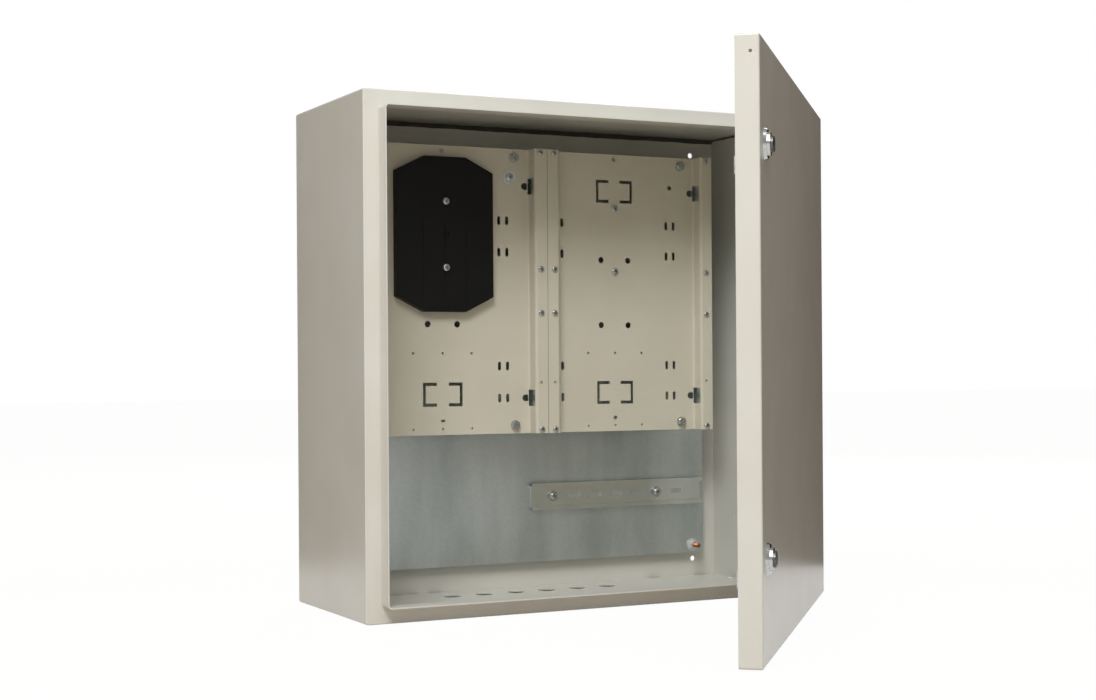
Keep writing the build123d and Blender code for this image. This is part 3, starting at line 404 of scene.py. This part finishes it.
# %% [markdown]
# ## Helpers for edit mode
# Operators work on what is selected, so each step first clears the selection and then picks faces in
# code, by where they look. Every small piece below is modelled lying on its back, with its axis on Z,
# because that is how the primitives come.

# %% Starting, selecting and cutting
FACING = 0.9  # the least share of a face's normal that has to lie along Z


def activate(piece):
    """Makes a piece the only selected object, and the active one."""
    bpy.ops.object.select_all(action="DESELECT")
    piece.select_set(True)
    bpy.context.view_layer.objects.active = piece


def add_cylinder(radius, depth, base=0.0, corners=32):
    """A fresh cylinder that stands on a height of the Z axis."""
    bpy.ops.object.select_all(action="DESELECT")
    bpy.ops.mesh.primitive_cylinder_add(
        vertices=corners, radius=radius, depth=depth, location=(0, 0, base + depth / 2)
    )
    bpy.ops.object.transform_apply(location=True, rotation=True, scale=True)
    return bpy.context.object


def looks_up(face):
    """True for a face that looks up along Z."""
    return face.normal.z > FACING


def looks_down(face):
    """True for a face that looks down along Z."""
    return face.normal.z < -FACING


def pick_faces(piece, wanted):
    """Enters edit mode with only the wanted faces of the active piece selected."""
    bpy.ops.object.mode_set(mode="EDIT")
    bpy.ops.mesh.select_mode(type="FACE")
    bpy.ops.mesh.select_all(action="DESELECT")
    bpy.ops.object.mode_set(mode="OBJECT")
    for polygon in piece.data.polygons:
        polygon.select = bool(wanted(polygon))
    bpy.ops.object.mode_set(mode="EDIT")


def carve(piece, cutter, operation="DIFFERENCE"):
    """Cuts a piece with another, or keeps only what both share, and removes the cutter."""
    activate(piece)
    modifier = piece.modifiers.new("cut", "BOOLEAN")
    modifier.operation = operation
    modifier.solver = "EXACT"
    modifier.object = cutter
    bpy.ops.object.modifier_apply(modifier=modifier.name)
    bpy.data.objects.remove(cutter, do_unlink=True)


print("looking up means within", round(math.degrees(math.acos(FACING))), "degrees of Z")

# %% [markdown]
# ## Helpers that put a piece in place
# What repeats is modelled once. Copies of it, each with its own mesh, are laid down so that Z points out
# of the cabinet's front, and are joined. Their place goes into the mesh, and the object stays at the
# origin, as the solids do, so that a pattern on Object coordinates doesn't slide. Then the piece is tied
# to the body that it moves with and takes over from its node.

# %% Setting out and finishing


def set_out(pattern, places, first_turn=0, turn_step=0):
    """Copies a pattern that stands on Z to places, facing the front, and joins the copies."""
    copies = []
    for number, at in enumerate(places):
        copy = pattern.copy()
        copy.data = pattern.data.copy()
        bpy.context.scene.collection.objects.link(copy)
        spin = Matrix.Rotation(math.radians(first_turn + turn_step * number), 4, "Z")
        copy.data.transform(Matrix.Translation(at) @ Matrix.Rotation(math.pi / 2, 4, "X") @ spin)
        copy.matrix_world = Matrix.Identity(4)
        copies.append(copy)
    bpy.data.objects.remove(pattern, do_unlink=True)
    activate(copies[0])
    for copy in copies:
        copy.select_set(True)
    if len(copies) > 1:
        bpy.ops.object.join()
    return bpy.context.view_layer.objects.active


def finish_piece(piece, name, material, body, replaced):
    """Names and shades a piece, and ties it to its body and the node it stands for."""
    piece.name = name
    piece.data.name = name
    activate(piece)
    if not piece.data.has_custom_normals:
        bpy.ops.object.shade_smooth_by_angle(angle=math.radians(32))
    piece.data.materials.clear()
    piece.data.materials.append(material)
    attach(piece, body)
    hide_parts(replaced)


print("nodes that small pieces can take over:", len(nodes))

# %% [markdown]
# ## Pan-head screws
# The strips, the rails and the board are held by pan-head screws with a cross recess. A real head is
# turned, so it starts from a short cylinder whose upper rim is rounded with a bevel. The recess is
# stamped: two tapered bars are cut out of the head, one after the other. A bump couldn't do it, because
# the recess is deep enough to hold a shadow. The shank is the inner part of the lower face, pulled down.
# A worker leaves each recess at another angle, and so does the copy's turn.

# %% A pan-head screw with a cross recess
RECESS_FOOT, RECESS_TOP = 0.275, 1.175  # as shares of the head's height: the bars stand proud of it


def pan_screw(head_radius, head_height, shank_radius, shank_length):
    """A screw along Z: the head above zero, the shank below."""
    rim_rounding = 0.55 * head_height
    tip_chamfer = 0.35 * shank_radius
    bar_length, bar_width = 1.15 * head_radius, 0.3 * head_radius
    bar_foot, bar_top = RECESS_FOOT * head_height, RECESS_TOP * head_height
    bar_taper = 0.45
    screw = add_cylinder(head_radius, head_height)
    pick_faces(screw, looks_up)
    bpy.ops.mesh.bevel(offset=rim_rounding, segments=4, affect="EDGES")
    bpy.ops.object.mode_set(mode="OBJECT")
    pick_faces(screw, looks_down)
    bpy.ops.mesh.inset(thickness=head_radius - shank_radius)
    bpy.ops.mesh.extrude_region_move(TRANSFORM_OT_translate={"value": (0, 0, -shank_length)})
    bpy.ops.mesh.bevel(offset=tip_chamfer, segments=1, affect="EDGES")
    bpy.ops.object.mode_set(mode="OBJECT")
    for quarter in (0, 90):
        bpy.ops.object.select_all(action="DESELECT")
        bpy.ops.mesh.primitive_cube_add(size=1, location=(0, 0, (bar_foot + bar_top) / 2))
        bar = bpy.context.object
        bar.scale = (bar_length, bar_width, bar_top - bar_foot)
        bar.rotation_euler.z = math.radians(quarter)
        bpy.ops.object.transform_apply(location=True, rotation=True, scale=True)
        pick_faces(bar, looks_down)
        bpy.ops.transform.resize(value=(bar_taper, bar_taper, 1.0))
        bpy.ops.object.mode_set(mode="OBJECT")
        carve(screw, bar)
    return screw


print("a head 3 mm high gets a recess", round(3 * (1 - RECESS_FOOT), 1), "mm deep")

# %% [markdown]
# ## A row of screws for each node
# Each node gives the length and the places of its screws, and the list gives the sizes that its box
# can't tell apart. The recess turns by an odd angle from screw to screw, so that no two near ones match.

# %% Screws in each size
# The head's radius, the head's height and the shank's radius.
screw_sizes = {
    "strip_screws_left": (3.75 * MM, 2.4 * MM, 2.0 * MM),
    "strip_screws_right": (3.75 * MM, 2.4 * MM, 2.0 * MM),
    "board_screws": (4.6 * MM, 3.2 * MM, 2.5 * MM),
    "meter_screws": (4.6 * MM, 3.2 * MM, 2.5 * MM),
    "earth_screw": (4.6 * MM, 3.2 * MM, 2.5 * MM),
    "rail_screws": (5.0 * MM, 3.4 * MM, 3.0 * MM),
    "support_bolts": (4.4 * MM, 3.0 * MM, 2.5 * MM),
}
FIRST_RECESS_TURN, RECESS_TURN_STEP = 17, 37
for name, (head_radius, head_height, shank_radius) in screw_sizes.items():
    boxes = solids_of(name)
    length = boxes[0][1].y - boxes[0][0].y
    pattern = pan_screw(head_radius, head_height, shank_radius, length - head_height)
    places = [on_axis(box, box[0].y + head_height) for box in boxes]
    row = set_out(pattern, places, FIRST_RECESS_TURN, RECESS_TURN_STEP)
    finish_piece(row, name + "_cross_recessed", zinc_plate, "cabinet", name)
    print(row.name, len(places), "screws,", len(row.data.polygons), "faces")

# %% [markdown]
# ## Hexagon nuts
# A nut's corners are turned off at 30 degrees, which leaves the curved lines that make it look like a
# nut. A bevel of the hexagon would give straight ones. The real shape is what a hexagon and a cylinder
# with bevelled rims have in common, so it is made by keeping their intersection. The nut is then bored.

# %% Chamfered nuts


def hexagon_head(flats, height, both_ends):
    """A hexagon that stands on zero, with the corners of its upper or both ends turned off."""
    corner_radius = flats / math.sqrt(3)
    head = add_cylinder(corner_radius, height, corners=6)
    turned = add_cylinder(1.001 * corner_radius, height, corners=48)
    pick_faces(turned, lambda face: looks_up(face) or (both_ends and looks_down(face)))
    bpy.ops.mesh.bevel(offset=0.09 * flats, segments=1, affect="EDGES")
    bpy.ops.object.mode_set(mode="OBJECT")
    carve(head, turned, "INTERSECT")
    return head


def width_over_flats(box):
    """A hexagon's box is narrower over its flats than over its corners."""
    return min(box[1].x - box[0].x, box[1].z - box[0].z)


def hexagon_turn(box):
    """Turn of the pattern so that its corners match the solid's."""
    return 0 if box[1].z - box[0].z > box[1].x - box[0].x else 30


BORE_RADIUS = 3.05 * MM
for name, finish in (("mounting_nuts", zinc_plate), ("earth_stud_nut", pale_zinc)):
    boxes = solids_of(name)
    height = boxes[0][1].y - boxes[0][0].y
    nut = hexagon_head(width_over_flats(boxes[0]), height, True)
    carve(nut, add_cylinder(BORE_RADIUS, 3 * height, -height))
    places = [on_axis(box, box[1].y) for box in boxes]
    turn = hexagon_turn(boxes[0])
    row = set_out(nut, places, turn)
    finish_piece(row, name + "_chamfered", finish, "cabinet", name)
    print(row.name, len(places), "nuts, turn", turn)

# %% [markdown]
# ## Hexagon bolts
# Bolts hold the pillars behind the meter plates. Head and shank are forged in one, so the two have to be
# one closed mesh. The head loses its lower face and the shank its upper one, and the two open rims are
# bridged. Extruding the hexagon's own face would give a six-sided shank.

# %% Bolts of the stay pillars
BOLT_HEAD_HEIGHT = 4 * MM
BOLT_SHANK_RADIUS = 3 * MM
boxes = solids_of("stay_bolts")
shank_length = boxes[0][1].y - boxes[0][0].y - BOLT_HEAD_HEIGHT
bolt = hexagon_head(width_over_flats(boxes[0]), BOLT_HEAD_HEIGHT, False)
pick_faces(bolt, looks_down)
bpy.ops.mesh.delete(type="FACE")
bpy.ops.object.mode_set(mode="OBJECT")
shank = add_cylinder(BOLT_SHANK_RADIUS, shank_length, -shank_length, corners=24)
pick_faces(shank, looks_up)
bpy.ops.mesh.delete(type="FACE")
bpy.ops.object.mode_set(mode="OBJECT")
activate(bolt)
shank.select_set(True)
bpy.ops.object.join()
bpy.ops.object.mode_set(mode="EDIT")
bpy.ops.mesh.select_mode(type="EDGE")
bpy.ops.mesh.select_all(action="DESELECT")
bpy.ops.mesh.select_non_manifold()
bpy.ops.mesh.bridge_edge_loops()
bpy.ops.mesh.select_all(action="SELECT")
bpy.ops.mesh.normals_make_consistent(inside=False)
bpy.ops.object.mode_set(mode="OBJECT")
places = [on_axis(box, box[0].y + BOLT_HEAD_HEIGHT) for box in boxes]
row = set_out(bolt, places, hexagon_turn(boxes[0]))
finish_piece(row, "stay_bolts_hexagon", zinc_plate, "cabinet", "stay_bolts")
print(row.name, len(places), "bolts")

# %% [markdown]
# ## Threaded studs
# The mounting plate hangs on welded studs of 6 mm with a pitch of 1 mm. Their thread is seen from the
# side as a fine saw edge. A true helix wouldn't show at this size, so rings are drawn instead: a circle
# is pulled up half a pitch at a time, and every second ring is drawn in to the root of the thread.

# %% Threaded studs
THREAD_PITCH = 1 * MM
STUD_RADIUS = 3 * MM
PLAIN_FOOT = 2 * MM


def threaded_stud(radius, length, pitch, plain):
    """A stud along Z: a plain foot of a given length, then ridges of one pitch, then a drawn-in end."""
    root = 1 - 0.6 * pitch / radius
    end_taper = 0.8
    bpy.ops.object.select_all(action="DESELECT")
    bpy.ops.mesh.primitive_circle_add(
        vertices=24, radius=radius, fill_type="NGON", location=(0, 0, 0)
    )
    stud = bpy.context.object
    bpy.ops.object.mode_set(mode="EDIT")
    bpy.ops.mesh.select_mode(type="FACE")
    bpy.ops.mesh.select_all(action="SELECT")
    bpy.ops.mesh.extrude_region_move(TRANSFORM_OT_translate={"value": (0, 0, plain)})
    for _ in range(int((length - plain) / pitch)):
        for scale in (root, 1 / root):
            bpy.ops.mesh.extrude_region_move(TRANSFORM_OT_translate={"value": (0, 0, pitch / 2)})
            bpy.ops.transform.resize(value=(scale, scale, 1.0))
    bpy.ops.transform.resize(value=(end_taper, end_taper, 1.0))
    bpy.ops.mesh.select_all(action="SELECT")
    bpy.ops.mesh.normals_make_consistent(inside=False)
    bpy.ops.object.mode_set(mode="OBJECT")
    return stud


stud_finishes = {
    "mounting_studs": (zinc_plate, "zinc_plate"),
    "earth_stud": (copper_plate, "copper_plate"),
}
for name, (material, slot) in stud_finishes.items():
    boxes = solids_of(name)
    length = boxes[0][1].y - boxes[0][0].y
    stud = threaded_stud(STUD_RADIUS, length, THREAD_PITCH, length % THREAD_PITCH + PLAIN_FOOT)
    places = [on_axis(box, box[1].y) for box in boxes]
    row = set_out(stud, places)
    finish_piece(row, name + "_threaded", material, "cabinet", name)
    print(row.name, len(places), "studs of", round(length / MM, 2), "mm")

# %% [markdown]
# ## Softened edges
# Moulded plastic, poured foam and brushed sealant have no sharp edges. Modelling them anew would risk
# another size, so their solids are copied: the copy's loose triangles are merged and flat ones joined,
# and a Bevel modifier rounds what is sharp. Weighted normals then let the large flat faces lead the
# shading, or they would look dented near the rounding. The solid itself isn't touched.

# %% A softened board and gasket
MERGE_DISTANCE = 0.002 * MM
FLAT_ANGLE, SHARP_ANGLE = math.radians(1), math.radians(40)


def softened(name, width, segments):
    """A merged copy of a node's solid with its sharp edges rounded."""
    copy = nodes[name].copy()
    copy.data = nodes[name].data.copy()
    copy.parent = None
    copy.matrix_world = Matrix.Identity(4)
    copy.hide_render = False
    bpy.context.scene.collection.objects.link(copy)
    activate(copy)
    bpy.ops.object.mode_set(mode="EDIT")
    bpy.ops.mesh.select_all(action="SELECT")
    bpy.ops.mesh.remove_doubles(threshold=MERGE_DISTANCE)
    bpy.ops.mesh.dissolve_limited(angle_limit=FLAT_ANGLE)
    bpy.ops.mesh.normals_make_consistent(inside=False)
    bpy.ops.object.mode_set(mode="OBJECT")
    bevel = copy.modifiers.new("edges", "BEVEL")
    bevel.width = width
    bevel.segments = segments
    bevel.limit_method = "ANGLE"
    bevel.angle_limit = SHARP_ANGLE
    bevel.use_clamp_overlap = True
    bpy.ops.object.modifier_apply(modifier=bevel.name)
    bpy.ops.object.shade_smooth()
    weigh = copy.modifiers.new("flat_faces_lead", "WEIGHTED_NORMAL")
    weigh.weight = 100
    bpy.ops.object.modifier_apply(modifier=weigh.name)
    return copy


board = softened("meter_board", 0.5 * MM, 2)
finish_piece(
    board, "meter_board_moulded", board_plastic, "cabinet", "meter_board"
)
gasket = softened("door_gasket", 1.6 * MM, 4)
finish_piece(gasket, "door_gasket_poured", gasket_foam, "door", "door_gasket")
print("board", len(board.data.polygons), "faces, gasket", len(gasket.data.polygons), "faces")

# %% [markdown]
# ## Sealant under the roof, with painted corner shade
# The sealant was squeezed into the corner and wiped along it with a brush, so its edge wanders by about
# a millimetre. Sculpting by hand couldn't be run again, so the copy is remeshed finely and evenly and
# then displaced by slow clouds 20 mm across. The clouds push inwards more than outwards, so the bead
# stays close to its solid. Its dark colour is partly painted shade of the corner between the roof and
# the back wall.

# %% Uneven sealant bead
BEAD_MESH = 1.0 * MM
BRUSH_WAVE = 20 * MM
WANDER = 1.6 * MM
bead = softened("roof_sealant", 0.8 * MM, 2)
remesh = bead.modifiers.new("even_mesh", "REMESH")
remesh.mode = "VOXEL"
remesh.voxel_size = BEAD_MESH
bpy.ops.object.modifier_apply(modifier=remesh.name)
waves = bpy.data.textures.new("brushed_edge", "CLOUDS")
waves.noise_scale = BRUSH_WAVE
waves.noise_depth = 1
wander = bead.modifiers.new("wander", "DISPLACE")
wander.texture = waves
wander.texture_coords = "LOCAL"
wander.strength = WANDER
wander.mid_level = 0.75
bpy.ops.object.modifier_apply(modifier=wander.name)
# Painted shade: the bead's dark colour partly stands in for the shade of the roof's back corner.
finish_piece(bead, "roof_sealant_with_painted_shade", sealant_and_corner_shade, "cabinet", "roof_sealant")
print("sealant", len(bead.data.polygons), "faces")

# %% [markdown]
# ## The floor
# The studio is white all round. A white floor would throw too much cold light up the case, so the floor
# is a warm pale grey, and a share of it glows white for the camera and for gloss only. The rest of it is
# plain paint that still takes a soft shadow. The glow is a touch above 1, to make up for that rest. A
# dark sheet under the cabinet is painted shadow: the glow takes no shadow, so the sheet shows the shade
# under the cabinet through the holes in the cabinet's floor.

# %% Floor and under-sheet
FLOOR_SIZE = 30.0
GLOW_SHARE = 0.95
GLOW_STRENGTH = 1.02
FLOOR_GAP, SHEET_GAP = 0.5 * MM, 0.3 * MM
CASE_MIDDLE_Y = -115 * MM
SHEET_SIZE = (590 * MM, 226 * MM, 1)
floor_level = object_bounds()[0][2]


def background_paint(name, colour, glow_share):
    """A plain paint that the camera and gloss see brightened by a share of white glow."""
    material, paint, _ = new_finish(
        name, {"Base Color": linear(colour), "Roughness": 0.9, "Specular IOR Level": 0.1}
    )
    path = add_node(material, "ShaderNodeLightPath")
    seen = add_node(
        material,
        "ShaderNodeMath",
        {"operation": "MAXIMUM"},
        links={0: (path, "Is Camera Ray"), 1: (path, "Is Glossy Ray")},
    )
    part = add_node(
        material, "ShaderNodeMath", {"operation": "MULTIPLY"}, {1: glow_share}, {0: (seen, "Value")}
    )
    glow = add_node(
        material,
        "ShaderNodeEmission",
        inputs={"Color": linear("#FFFFFF"), "Strength": GLOW_STRENGTH},
    )
    mix = add_node(
        material,
        "ShaderNodeMixShader",
        links={0: (part, "Value"), 1: (paint, "BSDF"), 2: (glow, "Emission")},
    )
    output = material.node_tree.nodes["Material Output"]
    material.node_tree.links.new(mix.outputs[0], output.inputs["Surface"])
    return material


bpy.ops.object.select_all(action="DESELECT")
bpy.ops.mesh.primitive_plane_add(size=FLOOR_SIZE, location=(0, 0, floor_level - FLOOR_GAP))
floor = bpy.context.object
floor.name = "studio_floor"
floor.data.materials.append(background_paint("studio_floor_white", "#D6CBBD", GLOW_SHARE))

# Painted shadow: a dark sheet just under the cabinet's floor, seen only through its holes, stands for the
# shade there.
bpy.ops.object.select_all(action="DESELECT")
bpy.ops.mesh.primitive_plane_add(size=1, location=(0, CASE_MIDDLE_Y, floor_level - SHEET_GAP))
painted_shadow_sheet = bpy.context.object
painted_shadow_sheet.name = "painted_shadow_under_the_cabinet"
painted_shadow_sheet.scale = SHEET_SIZE
painted_shadow_sheet.data.materials.append(background_paint("painted_shadow_paint", "#4A4742", 0.0))
print("floor at", round(floor_level / MM, 1), "mm")

# %% [markdown]
# ## Dark cards
# A white room makes smooth paint look flat. Photographers stand dark cards just outside the picture, and
# the paint mirrors them where it is seen almost edge on: the door mirrors a card on its right, and the
# left side one behind it. A third keeps light off the door. The first two get paler towards their top. A
# card glows faintly by itself, so its tone doesn't depend on the lamps, and only gloss and diffuse light
# meet it: to the camera and the lamps it is clear.

# %% Three dark cards
CARD_HEIGHT = 0.9


def dark_card(name, foot_start, foot_end, low_colour, high_colour):
    """An upright card between two points of the floor, shaded from its foot to its top."""
    run = Vector(foot_end) - Vector(foot_start)
    middle = (Vector(foot_start) + Vector(foot_end)) / 2
    bpy.ops.object.select_all(action="DESELECT")
    bpy.ops.mesh.primitive_plane_add(
        size=1,
        location=(middle.x, middle.y, floor_level + CARD_HEIGHT / 2),
        rotation=(math.pi / 2, 0, math.atan2(run.y, run.x)),
    )
    card = bpy.context.object
    card.name = name
    card.scale = (run.length, CARD_HEIGHT, 1)
    bpy.ops.object.transform_apply(location=True, rotation=True, scale=True)
    material, _, place = new_finish(name, {})
    height = add_node(material, "ShaderNodeSeparateXYZ", links={"Vector": (place, "Object")})
    part = add_node(
        material,
        "ShaderNodeMapRange",
        inputs={"From Min": floor_level, "From Max": floor_level + CARD_HEIGHT},
        links={"Value": (height, "Z")},
    )
    tint = add_node(
        material,
        "ShaderNodeMix",
        {"data_type": "RGBA"},
        {MIX_FIRST: linear(low_colour), MIX_SECOND: linear(high_colour)},
        {MIX_SHARE: (part, "Result")},
    )
    glow = add_node(material, "ShaderNodeEmission", links={"Color": (tint, MIX_COLOUR)})
    path = add_node(material, "ShaderNodeLightPath")
    seen = add_node(
        material,
        "ShaderNodeMath",
        {"operation": "MAXIMUM"},
        links={0: (path, "Is Glossy Ray"), 1: (path, "Is Diffuse Ray")},
    )
    clear = add_node(material, "ShaderNodeBsdfTransparent")
    mix = add_node(
        material,
        "ShaderNodeMixShader",
        links={0: (seen, "Value"), 1: (clear, "BSDF"), 2: (glow, "Emission")},
    )
    output = material.node_tree.nodes["Material Output"]
    material.node_tree.links.new(mix.outputs[0], output.inputs["Surface"])
    card.data.materials.append(material)
    print(name, round(run.length, 2), "m wide")


dark_card("card_right", (0.33, 0.19), (1.35, -0.93), "#1A0E02", "#463018")
dark_card("card_front_right", (1.5, -0.4), (0.35, -1.75), "#1C1308", "#1C1308")
dark_card("card_left", (-1.3, 0.06), (0.1, 0.57), "#1C0E02", "#604E36")

# %% [markdown]
# ## The world
# The world is white. At full strength it would wash the cabinet out, so it lights the room at less than
# half and is full white only where the camera sees it, straight or through something clear.

# %% World light
WORLD_LIGHT, WORLD_WHITE = 0.46, 1.0
world = bpy.data.worlds.new("studio_world")
bpy.context.scene.world = world
world.use_nodes = True
sky = world.node_tree.nodes["Background"]
sky.inputs["Color"].default_value = linear("#FFFFFF")
path = add_node(world, "ShaderNodeLightPath")
seen = add_node(
    world,
    "ShaderNodeMath",
    {"operation": "MAXIMUM"},
    links={0: (path, "Is Camera Ray"), 1: (path, "Is Transmission Ray")},
)
level = add_node(
    world,
    "ShaderNodeMapRange",
    inputs={"To Min": WORLD_LIGHT, "To Max": WORLD_WHITE},
    links={"Value": (seen, "Value")},
)
world.node_tree.links.new(level.outputs["Result"], sky.inputs["Strength"])
print("world light", WORLD_LIGHT)

# %% [markdown]
# ## The lamps
# Small lamps would draw hard shadows into the open case, so all three are softboxes more than a metre
# wide. The main one stands in front, to the left and above, and a weak one hangs over the front. A fill
# lamp behind and to the right lights the back, which the camera doesn't see but a visitor might.

# %% Three softboxes


def soft_lamp(name, place, target, size, power):
    """A square softbox that looks at a point: places and size in metres, power in watts."""
    lamp = bpy.data.lights.new(name, "AREA")
    lamp.shape = "SQUARE"
    lamp.size = size
    lamp.energy = power
    holder = bpy.data.objects.new(name, lamp)
    bpy.context.scene.collection.objects.link(holder)
    holder.location = place
    holder.rotation_euler = (Vector(target) - Vector(place)).to_track_quat("-Z", "Y").to_euler()
    print(name, power, "W")


soft_lamp("front_left_softbox", (-1.5, -2.3, 2.2), (0, -0.2, 0), size=1.2, power=62)
soft_lamp("top_softbox", (-0.2, -1.1, 2.2), (0, -0.2, 0), size=1.2, power=12)
soft_lamp("rear_fill_softbox", (1.7, 2.3, 1.5), (0.1, -0.1, 0), size=1.6, power=55)

# %% [markdown]
# ## The camera
# A pinhole camera was fitted to the corners of the case and the door in a photograph 1096 pixels wide
# and 700 high. It stands 2.1 m in front of the cabinet's back and 1 m to the left, level, at half the
# cabinet's height. Its frame is shifted up a little, as with a lens that keeps upright lines upright.
# Its focal length in pixels becomes a lens length for a 36 mm sensor.

# %% Camera
image_width = 1096
image_height = 700
sensor_width = 36.0
focal_pixels = 1782.63
heading = math.radians(26.6804)
roll = math.radians(-0.3746)
principal_row = 369.15
camera_place = Vector((-1009.7, -2098.0, -15.4)) * MM
camera_data = bpy.data.cameras.new("photo_camera")
camera = bpy.data.objects.new("photo_camera", camera_data)
bpy.context.scene.collection.objects.link(camera)
bpy.context.scene.camera = camera
camera_data.sensor_fit = "HORIZONTAL"
camera_data.sensor_width = sensor_width
camera_data.lens = sensor_width * focal_pixels / image_width
camera_data.shift_y = (principal_row - image_height / 2) / image_width
upright = Matrix.Rotation(math.pi / 2, 4, "X")
turn = Matrix.Rotation(-heading, 4, "Z") @ upright @ Matrix.Rotation(roll, 4, "Z")
camera.matrix_world = Matrix.Translation(camera_place) @ turn
bpy.context.scene.view_settings.view_transform = "Standard"
print("lens", round(camera_data.lens, 2), "mm")
